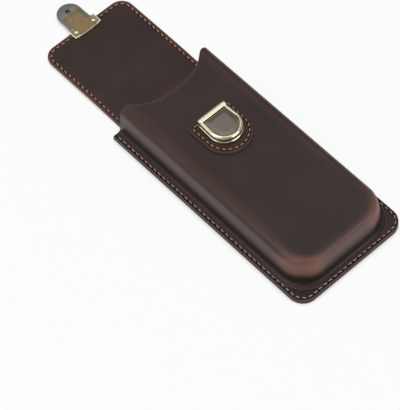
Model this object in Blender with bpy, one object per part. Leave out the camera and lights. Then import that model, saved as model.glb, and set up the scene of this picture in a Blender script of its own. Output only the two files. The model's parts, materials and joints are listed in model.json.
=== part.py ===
"""Leather case for three pens, lying on its back with the flap open and the tray pushed in.

Metres, +Z up. The origin is on the underside of the back panel, at the middle of the case.
+Y points to the mouth and on along the open flap, +X points to the right.
"""

import math

import bmesh
import bpy
from mathutils import Vector

# Leather and assembly
BACK_LEATHER = 0.0020
SHELL_LEATHER = 0.0018
FLAP_LEATHER = 0.0018
SEAM_GAP = 0.0003
LEATHER_EDGE = 0.0005
OVERRUN = 0.004

# Case body
CASE_LENGTH = 0.165
FLANGE_WIDTH = 0.084
FLANGE_CORNER = 0.010
CASE_HEIGHT = 0.0248
SIDE_MARGIN = 0.0055
END_MARGIN = 0.0055
WALL_DRAFT = 0.0012
FOOT_FILLET = 0.0025
EDGE_ROUND = 0.0065
BULGE_CORNER = 0.0175
MOUTH_SETBACK = 0.0006
SCOOP_DEPTH = 0.0115
SCOOP_HALF_WIDTH = 0.0292
SCOOP_EXPONENT = 2.8
SHOULDER_BLEND_SHARE = 0.14

# Flap
FLAP_WIDTH = 0.067
FLAP_CORNER = 0.009
FOLD_LEAN = math.radians(15.0)

# Lock on the shell
LOCK_BAR_PLACE = 0.0386
PATCH_HALF_WIDTH = 0.0162
PATCH_LENGTH = 0.0330
PATCH_REACH = 0.0044
PATCH_CORNER = 0.0015
PATCH_LEATHER = 0.0016
BASE_HALF_WIDTH = 0.0112
BASE_LENGTH = 0.0222
BASE_PLATE = 0.0010
RIM_HALF_WIDTH = 0.0107
RIM_LENGTH = 0.0216
RIM_WALL = 0.0017
RIM_TAPER = 0.0006
RIM_EDGE = 0.0007
BAR_LENGTH = 0.0210
BAR_WIDTH = 0.0034
BAR_THICKNESS = 0.0029
BAR_POST = 0.0010
SLOT_CLEARANCE = 0.0005
CUP_RADIUS = 0.0026
CUP_WALL = 0.0004
PIN_RADIUS = 0.0009
PIN_FOOT_RADIUS = 0.0018
PIN_FOOT_HEIGHT = 0.0006
RUNNING_GAP = 0.0003
BUTTON_TRAVEL = 0.0012
BUTTON_RING = 0.0007
BUTTON_STEP = 0.0015
BUTTON_RISE = 0.0007
BUTTON_EDGE = 0.0003
SPRING_WIRE = 0.0004
SPRING_RADIUS = 0.0014
SPRING_TURNS = 2
RIVET_RADIUS = 0.0007
RIVET_HEAD_RADIUS = 0.0015
RIVET_HEAD_HEIGHT = 0.0005
RIVET_SPREAD = 0.0065
BACK_PLATE_SIZE = (0.018, 0.010)
BACK_PLATE = 0.0006

# Lock on the flap
COVER_PLATE = 0.0007
COVER_WIDTH = 0.0210
COVER_OVERLAP = 0.0070
COVER_REACH = 0.0010
COVER_ARCH = 0.0012
TONGUE_PLATE = 0.0010
TONGUE_WIDTH = 0.0209
TONGUE_OVERLAP = 0.0058
TONGUE_ARCH = 0.0010
TONGUE_LENGTH = 0.0206
TONGUE_NECK = 0.0045
TONGUE_NECK_EXPONENT = 2.4
TONGUE_SIDE_CLEARANCE = 0.0007
TONGUE_HOLE_PLACE = 0.0143
TONGUE_HOLE_RADIUS = 0.0013
FLAP_TO_BAR = 0.0033
FLAP_RIVET_INSET = 0.0034

# Tray
TRAY_CLEARANCE = 0.0010
TRAY_END_CLEARANCE = 0.0015
TRAY_LEATHER = 0.0015
TRAY_LINER = 0.0012
TRAY_CORNER = 0.008
TRAY_CORNER_SHARE = 0.62
DIVIDER_THICKNESS = 0.0030
DIVIDER_SPACING = 0.0230
DIVIDER_HEADROOM = 0.0032
DIVIDER_SETBACK = 0.0095
DIVIDER_FOOT = 0.0100
DIVIDER_FOOT_LEATHER = 0.0010
DIVIDER_NOSE_SHARE = 0.68
DIVIDER_HEEL_SHARE = 0.23
DIVIDER_EDGE = 0.0009

# Places that follow from the sizes above
HALF_LENGTH = CASE_LENGTH / 2
FLANGE_BOTTOM = BACK_LEATHER + SEAM_GAP
FLANGE_TOP = FLANGE_BOTTOM + SHELL_LEATHER
MOUTH = HALF_LENGTH - MOUTH_SETBACK
FOOT_HALF_WIDTH = FLANGE_WIDTH / 2 - SIDE_MARGIN
FOOT_END = END_MARGIN - HALF_LENGTH
SHELL_INSIDE = CASE_HEIGHT - SHELL_LEATHER
PATCH_BOTTOM = CASE_HEIGHT + SEAM_GAP
PATCH_TOP = PATCH_BOTTOM + PATCH_LEATHER
BASE_BOTTOM = PATCH_TOP + SEAM_GAP
BASE_TOP = BASE_BOTTOM + BASE_PLATE
LATCHED_TONGUE_BOTTOM = BASE_TOP + SLOT_CLEARANCE
LATCHED_TONGUE_TOP = LATCHED_TONGUE_BOTTOM + TONGUE_PLATE
BAR_BOTTOM = LATCHED_TONGUE_TOP + SLOT_CLEARANCE
BAR_TOP = BAR_BOTTOM + BAR_THICKNESS
BUTTON_BOTTOM = LATCHED_TONGUE_TOP + BUTTON_TRAVEL + SEAM_GAP
RIM_TOP = BUTTON_BOTTOM + BUTTON_RING + BUTTON_RISE
CATCH_PLACE = LOCK_BAR_PLACE + FLAP_TO_BAR - TONGUE_HOLE_PLACE
TONGUE_TIP_RADIUS = RIM_HALF_WIDTH - RIM_WALL - TONGUE_SIDE_CLEARANCE

# Folds of the flap, at rest
FLAP_RISE = COVER_PLATE + SEAM_GAP
BACK_FOLD_PLACE = HALF_LENGTH + SEAM_GAP / 2
BACK_FOLD_HEIGHT = BACK_LEATHER / 2
FRONT_FOLD_HEIGHT = FLAP_RISE + FLAP_LEATHER / 2
LATCHED_FOLD_HEIGHT = LATCHED_TONGUE_BOTTOM + FLAP_LEATHER / 2
FOLD_RISE = FRONT_FOLD_HEIGHT - BACK_FOLD_HEIGHT
STRIP_REACH = LATCHED_FOLD_HEIGHT - BACK_FOLD_HEIGHT - FOLD_RISE * math.sin(FOLD_LEAN)
STRIP_LENGTH = STRIP_REACH / math.cos(FOLD_LEAN)
FRONT_FOLD_PLACE = BACK_FOLD_PLACE + STRIP_LENGTH
LEAN_SHIFT = STRIP_LENGTH * math.sin(FOLD_LEAN) - FOLD_RISE * math.cos(FOLD_LEAN)
LATCHED_FOLD_PLACE = BACK_FOLD_PLACE + LEAN_SHIFT
FRONT_LENGTH = LATCHED_FOLD_PLACE - LOCK_BAR_PLACE - FLAP_TO_BAR
FLAP_END = FRONT_FOLD_PLACE + FRONT_LENGTH
FLAP_INSIDE = FRONT_FOLD_HEIGHT + FLAP_LEATHER / 2

# Tray, pushed in
TRAY_HALF_WIDTH = FOOT_HALF_WIDTH - SHELL_LEATHER - TRAY_CLEARANCE
TRAY_BACK = FOOT_END + SHELL_LEATHER + TRAY_END_CLEARANCE
TRAY_FRONT = MOUTH - SEAM_GAP
TRAY_BACK_CORNER = BULGE_CORNER * TRAY_CORNER_SHARE
TRAY_BOTTOM = FLAP_INSIDE + RUNNING_GAP
LINER_BOTTOM = TRAY_BOTTOM + TRAY_LEATHER + SEAM_GAP
LINER_TOP = LINER_BOTTOM + TRAY_LINER
DIVIDER_BOTTOM = LINER_TOP + SEAM_GAP
DIVIDER_TOP = SHELL_INSIDE - DIVIDER_HEADROOM
DIVIDER_NOSE = (DIVIDER_TOP - DIVIDER_BOTTOM) * DIVIDER_NOSE_SHARE
DIVIDER_HEEL = (DIVIDER_TOP - DIVIDER_BOTTOM) * DIVIDER_HEEL_SHARE

# Fineness of the curves
ARC_STEPS = 7
FOOT_STEPS = 3
EDGE_STEPS = 5
D_STEPS = 28
TURNED_STEPS = 16
SPRING_TURN_STEPS = 10
SCOOP_STEPS = 40
MERGE_SHARE = 0.01
BEVEL_ANGLE = math.radians(50)
CREASE_ANGLE = math.radians(40)


def clear_scene():
    """Remove whatever the scene holds."""
    for obj in list(bpy.data.objects):
        bpy.data.objects.remove(obj, do_unlink=True)


def finish(name, colour, roughness, metallic):
    """A plain Principled material."""
    material = bpy.data.materials.new(name)
    material.use_nodes = True
    shader = material.node_tree.nodes["Principled BSDF"]
    shader.inputs["Base Color"].default_value = (*colour, 1.0)
    shader.inputs["Roughness"].default_value = roughness
    shader.inputs["Metallic"].default_value = metallic
    return material


def carrier(name, place, parent=None):
    """An empty on a joint's axis, which carries the pieces that move with it."""
    empty = bpy.data.objects.new(name, None)
    bpy.context.collection.objects.link(empty)
    empty.location = Vector(place) - world_place(parent)
    empty.parent = parent
    return empty


def world_place(obj):
    """Where an unturned carrier stands in the case's frame."""
    place = Vector()
    while obj is not None:
        place += obj.location
        obj = obj.parent
    return place


def piece(name, shape, material, place=(0, 0, 0), parent=None):
    """Turn a bmesh into a named object that stands at a place in the case's frame."""
    bmesh.ops.recalc_face_normals(shape, faces=shape.faces)
    mesh = bpy.data.meshes.new(name)
    shape.to_mesh(mesh)
    shape.free()
    obj = bpy.data.objects.new(name, mesh)
    bpy.context.collection.objects.link(obj)
    if material is not None:
        mesh.materials.append(material)
    obj.location = Vector(place) - world_place(parent)
    obj.parent = parent
    return obj


def soften(obj, width, segments=2):
    """Round the sharp edges of a piece."""
    bevel = obj.modifiers.new("edges", "BEVEL")
    bevel.width = width
    bevel.segments = segments
    bevel.limit_method = "ANGLE"
    bevel.angle_limit = BEVEL_ANGLE
    return obj


def combine(obj, other, operation):
    """Boolean with a helper object that isn't a piece itself."""
    other.hide_render = True
    other.display_type = "WIRE"
    boolean = obj.modifiers.new(operation.lower(), "BOOLEAN")
    boolean.operation = operation
    boolean.object = other
    return obj


def smooth(obj):
    """Shade a round piece smooth, with its creases kept."""
    obj.data.shade_smooth()
    obj.data.set_sharp_from_angle(angle=CREASE_ANGLE)
    return obj


def arc(centre, radius, start, end, steps=ARC_STEPS):
    """Points of an arc in the plane, angles in degrees."""
    points = []
    for step in range(steps + 1):
        angle = math.radians(start + (end - start) * step / steps)
        points.append((centre[0] + radius * math.cos(angle), centre[1] + radius * math.sin(angle)))
    return points


def rounded_rectangle(half_width, low, high, low_radius, high_radius):
    """Outline that is symmetrical about x = 0, with its own radii at the low and high ends."""
    outline = []
    if low_radius > 0:
        outline += arc((low_radius - half_width, low + low_radius), low_radius, 180, 270)
        outline += arc((half_width - low_radius, low + low_radius), low_radius, 270, 360)
    else:
        outline += [(-half_width, low), (half_width, low)]
    if high_radius > 0:
        outline += arc((half_width - high_radius, high - high_radius), high_radius, 0, 90)
        outline += arc((high_radius - half_width, high - high_radius), high_radius, 90, 180)
    else:
        outline += [(half_width, high), (-half_width, high)]
    return outline


def d_curve(half_width, length, taper=0, steps=D_STEPS):
    """A D that hangs from y = 0: sides that may draw in towards the top, then a half circle."""
    top = half_width - taper
    curve = arc((0, half_width - length), half_width, 0, -180, steps)
    return [(top, 0)] + curve + [(-top, 0)]


def prism(outline, bottom, top):
    """A flat sheet: an outline in the plane, extruded upwards."""
    shape = bmesh.new()
    corners = [shape.verts.new((x, y, bottom)) for x, y in outline]
    face = shape.faces.new(corners)
    raised = bmesh.ops.extrude_face_region(shape, geom=[face])["geom"]
    moved = [item for item in raised if isinstance(item, bmesh.types.BMVert)]
    bmesh.ops.translate(shape, verts=moved, vec=(0, 0, top - bottom))
    return shape


def turned(profile):
    """A round piece: a profile of (radius, height) points from the axis to the axis, spun about Z."""
    shape = bmesh.new()
    corners = [shape.verts.new((radius, 0, height)) for radius, height in profile]
    edges = [shape.edges.new(pair) for pair in zip(corners, corners[1:])]
    bmesh.ops.spin(
        shape,
        geom=corners + edges,
        cent=(0, 0, 0),
        axis=(0, 0, 1),
        angle=math.tau,
        steps=TURNED_STEPS,
        use_merge=True,
    )
    bmesh.ops.remove_doubles(shape, verts=shape.verts, dist=SEAM_GAP * MERGE_SHARE)
    return shape


def cylinder(radius, bottom, top):
    """A plain round bar or cutter."""
    return turned([(0, top), (radius, top), (radius, bottom), (0, bottom)])


def drill(obj, name, place, radius, bottom, top):
    """Cut a round hole through a piece."""
    cutter = piece(name, cylinder(radius, bottom, top), None, place)
    return combine(obj, cutter, "DIFFERENCE")


def back_panel(leather):
    """Flat back, sewn to the shell's flange."""
    outline = rounded_rectangle(FLANGE_WIDTH / 2, -HALF_LENGTH, HALF_LENGTH, FLANGE_CORNER, 0)
    return soften(piece("back_panel", prism(outline, 0, BACK_LEATHER), leather), LEATHER_EDGE)


def shell_levels():
    """Half width, closed end, corner radius and height of the shell's outer skin, from flange to top."""
    levels = [(FLANGE_WIDTH / 2, -HALF_LENGTH, FLANGE_CORNER, FLANGE_TOP)]
    for step in range(FOOT_STEPS + 1):
        angle = math.pi / 2 * step / FOOT_STEPS
        inset = FOOT_FILLET * (math.sin(angle) - 1)
        height = FLANGE_TOP + FOOT_FILLET * (1 - math.cos(angle))
        levels.append((FOOT_HALF_WIDTH - inset, FOOT_END + inset, BULGE_CORNER - inset, height))
    for step in range(EDGE_STEPS + 1):
        angle = math.pi / 2 * step / EDGE_STEPS
        inset = WALL_DRAFT + EDGE_ROUND * (1 - math.cos(angle))
        height = CASE_HEIGHT - EDGE_ROUND * (1 - math.sin(angle))
        levels.append((FOOT_HALF_WIDTH - inset, FOOT_END + inset, BULGE_CORNER - inset, height))
    return levels


def shell_ring(half_width, end, radius, open_end):
    """One level of the shell: down the right side, round the closed end and back up the left."""
    right = arc((half_width - radius, end + radius), radius, 0, -90)
    left = arc((radius - half_width, end + radius), radius, -90, -180)
    return [(half_width, open_end)] + right + left + [(-half_width, open_end)]


def mouth_edge(x):
    """How far the shell reaches at a place across the mouth, with the scoop and rounded shoulders."""
    fall = 1 - abs(x / SCOOP_HALF_WIDTH) ** SCOOP_EXPONENT
    blended = (fall + math.sqrt(fall * fall + SHOULDER_BLEND_SHARE**2)) / 2
    return MOUTH - SCOOP_DEPTH * blended


def mouth_cutter():
    """Everything in front of the mouth, which trims the shell to the scooped edge."""
    reach = FLANGE_WIDTH / 2 + OVERRUN
    front = MOUTH + 2 * OVERRUN
    xs = [reach * (2 * step / SCOOP_STEPS - 1) for step in range(SCOOP_STEPS + 1)]
    outline = [(x, mouth_edge(x)) for x in xs] + [(reach, front), (-reach, front)]
    return piece("mouth_cutter", prism(outline, 0, CASE_HEIGHT + OVERRUN), None)


def front_shell(leather):
    """Moulded front: a flange, walls with a small draft, a well rounded edge and a flat face."""
    shape = bmesh.new()
    rings = []
    for half_width, end, radius, height in shell_levels():
        outline = shell_ring(half_width, end, radius, MOUTH + OVERRUN)
        rings.append([shape.verts.new((x, y, height)) for x, y in outline])
    for low, high in zip(rings, rings[1:]):
        for i in range(len(low) - 1):
            shape.faces.new((low[i], low[i + 1], high[i + 1], high[i]))
    top = rings[-1]
    last = len(top) - 1
    for i in range(len(top) // 2 - 1):
        shape.faces.new((top[i], top[i + 1], top[last - i - 1], top[last - i]))
    obj = piece("front_shell", shape, leather)
    wall = obj.modifiers.new("leather", "SOLIDIFY")
    wall.thickness = SHELL_LEATHER
    wall.offset = -1
    wall.use_even_offset = True
    combine(obj, mouth_cutter(), "DIFFERENCE")
    drill(obj, "shell_cup_hole", (0, CATCH_PLACE, 0), CUP_RADIUS + RUNNING_GAP, FLANGE_TOP, PATCH_BOTTOM)
    for side in (-1, 1):
        place = (side * RIVET_SPREAD, CATCH_PLACE, 0)
        drill(obj, "shell_rivet_hole", place, RIVET_RADIUS + RUNNING_GAP, FLANGE_TOP, PATCH_BOTTOM)
    return smooth(obj)


def lock_patch(leather):
    """D-shaped leather patch under the lock."""
    corner = arc((PATCH_CORNER - PATCH_HALF_WIDTH, 0), PATCH_CORNER, 180, 90)
    corner += arc((PATCH_HALF_WIDTH - PATCH_CORNER, 0), PATCH_CORNER, 90, 0)
    outline = d_curve(PATCH_HALF_WIDTH, PATCH_LENGTH - PATCH_CORNER)[:-1] + corner[:-1]
    place = (0, LOCK_BAR_PLACE + PATCH_REACH - PATCH_CORNER, 0)
    obj = piece("lock_patch", prism(outline, PATCH_BOTTOM, PATCH_TOP), leather, place)
    soften(obj, LEATHER_EDGE)
    drill(obj, "patch_cup_hole", (0, CATCH_PLACE, 0), CUP_RADIUS + RUNNING_GAP, CASE_HEIGHT, BASE_BOTTOM)
    for side in (-1, 1):
        hole = (side * RIVET_SPREAD, CATCH_PLACE, 0)
        drill(obj, "patch_rivet_hole", hole, RIVET_RADIUS + RUNNING_GAP, CASE_HEIGHT, BASE_BOTTOM)
    return obj


def lock_base_plate(brass):
    """D plate under the rim, with a cup that guides the catch pin through the leather."""
    half_bar = BAR_LENGTH / 2
    outline = d_curve(BASE_HALF_WIDTH, BASE_LENGTH, BASE_HALF_WIDTH - half_bar)
    outline += [(-half_bar, BAR_WIDTH / 2), (half_bar, BAR_WIDTH / 2)]
    obj = piece("lock_base_plate", prism(outline, BASE_BOTTOM, BASE_TOP), brass, (0, LOCK_BAR_PLACE, 0))
    inside = CUP_RADIUS - CUP_WALL
    floor = SHELL_INSIDE + CUP_WALL
    cup_shape = cylinder(CUP_RADIUS, SHELL_INSIDE, BASE_TOP - BASE_PLATE / 2)
    combine(obj, piece("cup_body", cup_shape, None, (0, CATCH_PLACE, 0)), "UNION")
    drill(obj, "cup_bore", (0, CATCH_PLACE, 0), inside, floor, BASE_TOP + OVERRUN)
    return obj


def lock_frame(brass):
    """Cast rim in the form of a U, closed by a raised bar that the tongue slides under."""
    outline = d_curve(RIM_HALF_WIDTH, RIM_LENGTH, RIM_TAPER)
    bottom = BASE_TOP + SEAM_GAP
    rim = piece("lock_frame", prism(outline, bottom, RIM_TOP), brass, (0, LOCK_BAR_PLACE, 0))
    soften(rim, RIM_EDGE, 3)
    opening = d_curve(RIM_HALF_WIDTH - RIM_WALL, RIM_LENGTH - RIM_WALL)
    opening = opening[1:-1]
    opening += [(RIM_WALL - RIM_HALF_WIDTH, OVERRUN), (RIM_HALF_WIDTH - RIM_WALL, OVERRUN)]
    cutter = piece("rim_opening", prism(opening, BASE_BOTTOM, BAR_TOP), None, (0, LOCK_BAR_PLACE, 0))
    combine(rim, cutter, "DIFFERENCE")
    bar_outline = rounded_rectangle(BAR_LENGTH / 2, -BAR_WIDTH / 2, BAR_WIDTH / 2, 0, 0)
    bar = piece("bar_body", prism(bar_outline, bottom, BAR_TOP), None, (0, LOCK_BAR_PLACE, 0))
    soften(bar, RIM_EDGE)
    slot_outline = rounded_rectangle(BAR_LENGTH / 2 - BAR_POST, -BAR_WIDTH, BAR_WIDTH, 0, 0)
    slot = piece("slot_cutter", prism(slot_outline, BASE_BOTTOM, BAR_BOTTOM), None, (0, LOCK_BAR_PLACE, 0))
    combine(bar, slot, "DIFFERENCE")
    combine(rim, bar, "UNION")
    return smooth(rim)


def button_outline(inset):
    """D outline of the button, kept clear of the rim and the bar."""
    half_width = RIM_HALF_WIDTH - RIM_WALL - RUNNING_GAP - inset
    length = RIM_LENGTH - RIM_WALL - RUNNING_GAP - inset
    top = -BAR_WIDTH / 2 - RUNNING_GAP - inset
    curve = [point for point in d_curve(half_width, length) if point[1] < top]
    return [(curve[0][0], top)] + curve + [(curve[-1][0], top)]


def lock_button(brass, parent):
    """Stepped D button with a stub that pushes the catch pin out of the tongue."""
    place = (0, LOCK_BAR_PLACE, 0)
    ring_top = BUTTON_BOTTOM + BUTTON_RING
    obj = piece("lock_button", prism(button_outline(0), BUTTON_BOTTOM, ring_top), brass, place, parent)
    raised = prism(button_outline(BUTTON_STEP), BUTTON_BOTTOM + BUTTON_RING / 2, ring_top + BUTTON_RISE)
    step = soften(piece("button_step", raised, None, place), BUTTON_EDGE)
    combine(obj, step, "UNION")
    stub_bottom = LATCHED_TONGUE_TOP + SEAM_GAP
    stub = piece("button_stub", cylinder(PIN_RADIUS, stub_bottom, ring_top - BUTTON_RING / 2), None)
    stub.location = (0, CATCH_PLACE, 0)
    return combine(obj, stub, "UNION")


def lock_catch_pin(brass, parent):
    """Pin that stands in the tongue's hole, with a foot that the spring lifts."""
    tip = LATCHED_TONGUE_TOP
    foot = BASE_BOTTOM
    profile = [
        (0, tip),
        (PIN_RADIUS - BUTTON_EDGE, tip),
        (PIN_RADIUS, tip - BUTTON_EDGE),
        (PIN_RADIUS, foot),
        (PIN_FOOT_RADIUS, foot),
        (PIN_FOOT_RADIUS, foot - PIN_FOOT_HEIGHT),
        (0, foot - PIN_FOOT_HEIGHT),
    ]
    return smooth(piece("lock_catch_pin", turned(profile), brass, (0, CATCH_PLACE, 0), parent))


def lock_spring(steel):
    """Coil spring in the cup, under the pin's foot."""
    low = SHELL_INSIDE + CUP_WALL + SEAM_GAP + SPRING_WIRE / 2
    high = BASE_BOTTOM - PIN_FOOT_HEIGHT - SEAM_GAP - SPRING_WIRE / 2
    steps = SPRING_TURNS * SPRING_TURN_STEPS
    curve = bpy.data.curves.new("lock_spring", "CURVE")
    curve.dimensions = "3D"
    curve.bevel_depth = SPRING_WIRE / 2
    curve.bevel_resolution = 1
    curve.use_fill_caps = True
    spline = curve.splines.new("POLY")
    spline.points.add(steps)
    for step, point in enumerate(spline.points):
        angle = math.tau * SPRING_TURNS * step / steps
        height = low + (high - low) * step / steps
        point.co = (SPRING_RADIUS * math.cos(angle), SPRING_RADIUS * math.sin(angle), height, 1)
    curve.materials.append(steel)
    obj = bpy.data.objects.new("lock_spring", curve)
    bpy.context.collection.objects.link(obj)
    obj.location = (0, CATCH_PLACE, 0)
    coil_gap = (high - low) / SPRING_TURNS - SPRING_WIRE
    print(f"lock_spring: {coil_gap * 1000:.2f} mm between its turns")
    return obj


def lock_back_plate(steel):
    """Backing plate inside the shell that the rivets clench."""
    half_width, half_length = BACK_PLATE_SIZE[0] / 2, BACK_PLATE_SIZE[1] / 2
    outline = rounded_rectangle(half_width, -half_length, half_length, half_length / 2, half_length / 2)
    top = SHELL_INSIDE - SEAM_GAP
    bottom = top - BACK_PLATE
    obj = piece("lock_back_plate", prism(outline, bottom, top), steel, (0, CATCH_PLACE, 0))
    for side in (-1, 1):
        hole = (side * RIVET_SPREAD, CATCH_PLACE, 0)
        drill(obj, "plate_hole", hole, RIVET_RADIUS + RUNNING_GAP, bottom - OVERRUN, SHELL_INSIDE)
    return obj


def lock_rivet(brass, name, side):
    """Rivet from the base plate down through patch, shell and backing plate."""
    top = BASE_BOTTOM - SEAM_GAP
    head = SHELL_INSIDE - SEAM_GAP - BACK_PLATE - SEAM_GAP
    profile = [
        (0, top),
        (RIVET_RADIUS, top),
        (RIVET_RADIUS, head),
        (RIVET_HEAD_RADIUS, head),
        (RIVET_HEAD_RADIUS, head - RIVET_HEAD_HEIGHT / 2),
        (RIVET_RADIUS, head - RIVET_HEAD_HEIGHT),
        (0, head - RIVET_HEAD_HEIGHT),
    ]
    place = (side * RIVET_SPREAD, CATCH_PLACE, 0)
    return smooth(piece(name, turned(profile), brass, place))


def flap_top(leather, parent):
    """Strip that goes round the end of the case, rising to the front panel's level."""
    start = HALF_LENGTH + SEAM_GAP
    end = FRONT_FOLD_PLACE - SEAM_GAP / 2
    shape = bmesh.new()
    rows = []
    for step in range(ARC_STEPS + 1):
        share = step / ARC_STEPS
        ease = share * share * (3 - 2 * share)
        y = start + (end - start) * share
        low = FLAP_RISE * ease
        high = low + BACK_LEATHER + (FLAP_LEATHER - BACK_LEATHER) * ease
        half = FLAP_WIDTH / 2
        corners = ((-half, low), (half, low), (half, high), (-half, high))
        rows.append([shape.verts.new((x, y, z)) for x, z in corners])
    for first, second in zip(rows, rows[1:]):
        for i in range(4):
            shape.faces.new((first[i], first[(i + 1) % 4], second[(i + 1) % 4], second[i]))
    shape.faces.new(rows[0])
    shape.faces.new(rows[-1])
    return soften(piece("flap_top", shape, leather, (0, 0, 0), parent), LEATHER_EDGE)


def flap_front(leather, parent):
    """Front panel of the flap with rounded corners."""
    start = FRONT_FOLD_PLACE + SEAM_GAP / 2
    outline = rounded_rectangle(FLAP_WIDTH / 2, start, FLAP_END, 0, FLAP_CORNER)
    shape = prism(outline, FLAP_RISE, FLAP_INSIDE)
    obj = soften(piece("flap_front", shape, leather, (0, 0, 0), parent), LEATHER_EDGE)
    for side in (-1, 1):
        drill(obj, "flap_hole", rivet_place(side), RIVET_RADIUS + RUNNING_GAP, 0, TRAY_BOTTOM)
    return obj


def rivet_place(side):
    """Where a flap rivet goes through plates and leather."""
    return (side * (TONGUE_WIDTH / 2 - FLAP_RIVET_INSET), FLAP_END - TONGUE_OVERLAP + FLAP_RIVET_INSET, 0)


def flap_cover_plate(brass, parent):
    """Outer plate over the flap's end, with an arched inner edge."""
    half = COVER_WIDTH / 2
    inner = -COVER_OVERLAP
    steps = 2 * ARC_STEPS
    outline = []
    for step in range(steps + 1):
        x = half * (2 * step / steps - 1)
        outline.append((x, inner - COVER_ARCH * (1 - (x / half) ** 2)))
    outline += [(half, COVER_REACH), (-half, COVER_REACH)]
    shape = prism(outline, 0, COVER_PLATE)
    return piece("flap_cover_plate", shape, brass, (0, FLAP_END, 0), parent)


def tongue_outline():
    """Broad plate on the leather, curving in to a neck and a round tip beyond its end."""
    half = TONGUE_WIDTH / 2
    steps = 2 * ARC_STEPS
    outline = []
    for step in range(steps + 1):
        x = half * (2 * step / steps - 1)
        outline.append((x, -TONGUE_OVERLAP - TONGUE_ARCH * (1 - (x / half) ** 2)))
    return outline


def tongue_side(y):
    """Half width of the free tongue: a quick narrowing, then nearly parallel to the tip."""
    narrow = min(max(y / TONGUE_NECK, 0), 1)
    return TONGUE_TIP_RADIUS + (TONGUE_WIDTH / 2 - TONGUE_TIP_RADIUS) * (1 - narrow) ** TONGUE_NECK_EXPONENT


def flap_tongue(brass, parent):
    """Inner plate riveted to the flap, stepped to the leather's middle where it becomes the tongue."""
    low = FLAP_INSIDE + SEAM_GAP
    lip = SEAM_GAP + TONGUE_PLATE
    plate = tongue_outline() + [(TONGUE_WIDTH / 2, lip), (-TONGUE_WIDTH / 2, lip)]
    obj = piece("flap_tongue", prism(plate, low, low + TONGUE_PLATE), brass, (0, FLAP_END, 0), parent)
    free_low = FLAP_INSIDE - TONGUE_PLATE
    root = SEAM_GAP
    tip_centre = TONGUE_LENGTH - TONGUE_TIP_RADIUS
    right = []
    for step in range(ARC_STEPS + 1):
        y = root + (tip_centre - root) * step / ARC_STEPS
        right.append((tongue_side(y), y))
    tip = arc((0, tip_centre), TONGUE_TIP_RADIUS, 0, 180, 2 * ARC_STEPS)
    left = [(-x, y) for x, y in reversed(right)]
    free = prism(right[:-1] + tip + left[1:], free_low, FLAP_INSIDE)
    combine(obj, piece("tongue_body", free, None, (0, FLAP_END, 0)), "UNION")
    step_half = tongue_side(root)
    riser = rounded_rectangle(step_half, root, root + TONGUE_PLATE, 0, 0)
    joggle = piece("tongue_step", prism(riser, free_low + SEAM_GAP, low + SEAM_GAP), None, (0, FLAP_END, 0))
    combine(obj, joggle, "UNION")
    hole = (0, FLAP_END + TONGUE_HOLE_PLACE, 0)
    above = TRAY_BOTTOM + OVERRUN
    drill(obj, "tongue_hole", hole, TONGUE_HOLE_RADIUS, 0, above)
    for side in (-1, 1):
        drill(obj, "tongue_rivet_hole", rivet_place(side), RIVET_RADIUS + RUNNING_GAP, 0, above)
    return obj


def flap_rivet(brass, name, side, parent):
    """Domed rivet through the tongue plate and the leather to the cover plate."""
    head = FLAP_INSIDE + SEAM_GAP + TONGUE_PLATE + SEAM_GAP
    profile = [
        (0, head + RIVET_HEAD_HEIGHT),
        (RIVET_RADIUS, head + RIVET_HEAD_HEIGHT),
        (RIVET_HEAD_RADIUS, head + RIVET_HEAD_HEIGHT / 2),
        (RIVET_HEAD_RADIUS, head),
        (RIVET_RADIUS, head),
        (RIVET_RADIUS, FLAP_RISE),
        (0, FLAP_RISE),
    ]
    return smooth(piece(name, turned(profile), brass, rivet_place(side), parent))


def tray_sheet(name, leather, inset, bottom, top, parent):
    """One of the tray's two leather layers."""
    back, front = TRAY_BACK + inset, TRAY_FRONT - inset
    back_radius, front_radius = TRAY_BACK_CORNER - inset, TRAY_CORNER - inset
    outline = rounded_rectangle(TRAY_HALF_WIDTH - inset, back, front, back_radius, front_radius)
    return soften(piece(name, prism(outline, bottom, top), leather, (0, 0, 0), parent), LEATHER_EDGE)


def divider_profile():
    """Side view of a divider: straight top edge and a round nose towards the mouth."""
    back = TRAY_BACK + TRAY_CORNER / 2
    front = TRAY_FRONT - DIVIDER_SETBACK
    low = DIVIDER_BOTTOM + DIVIDER_FOOT_LEATHER / 2
    profile = [(back, low), (front, low)]
    profile += arc((front - DIVIDER_NOSE, DIVIDER_TOP - DIVIDER_NOSE), DIVIDER_NOSE, 0, 90)
    heel = (back + DIVIDER_HEEL, DIVIDER_TOP - DIVIDER_HEEL)
    profile += arc(heel, DIVIDER_HEEL, 90, 180, ARC_STEPS // 2)
    return profile


def divider(name, leather, place, parent):
    """Wall of doubled leather between two pens, on a sewn foot."""
    shape = bmesh.new()
    half = DIVIDER_THICKNESS / 2
    profile = divider_profile()
    face = shape.faces.new([shape.verts.new((-half, y, z)) for y, z in profile])
    raised = bmesh.ops.extrude_face_region(shape, geom=[face])["geom"]
    moved = [item for item in raised if isinstance(item, bmesh.types.BMVert)]
    bmesh.ops.translate(shape, verts=moved, vec=(DIVIDER_THICKNESS, 0, 0))
    obj = soften(piece(name, shape, leather, (place, 0, 0), parent), DIVIDER_EDGE)
    back, front = profile[0][0], profile[1][0] + SEAM_GAP
    foot_outline = rounded_rectangle(DIVIDER_FOOT / 2, back, front, half, half)
    foot = prism(foot_outline, DIVIDER_BOTTOM, DIVIDER_BOTTOM + DIVIDER_FOOT_LEATHER)
    return combine(obj, piece(name + "_foot", foot, None, (place, 0, 0)), "UNION")


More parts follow.
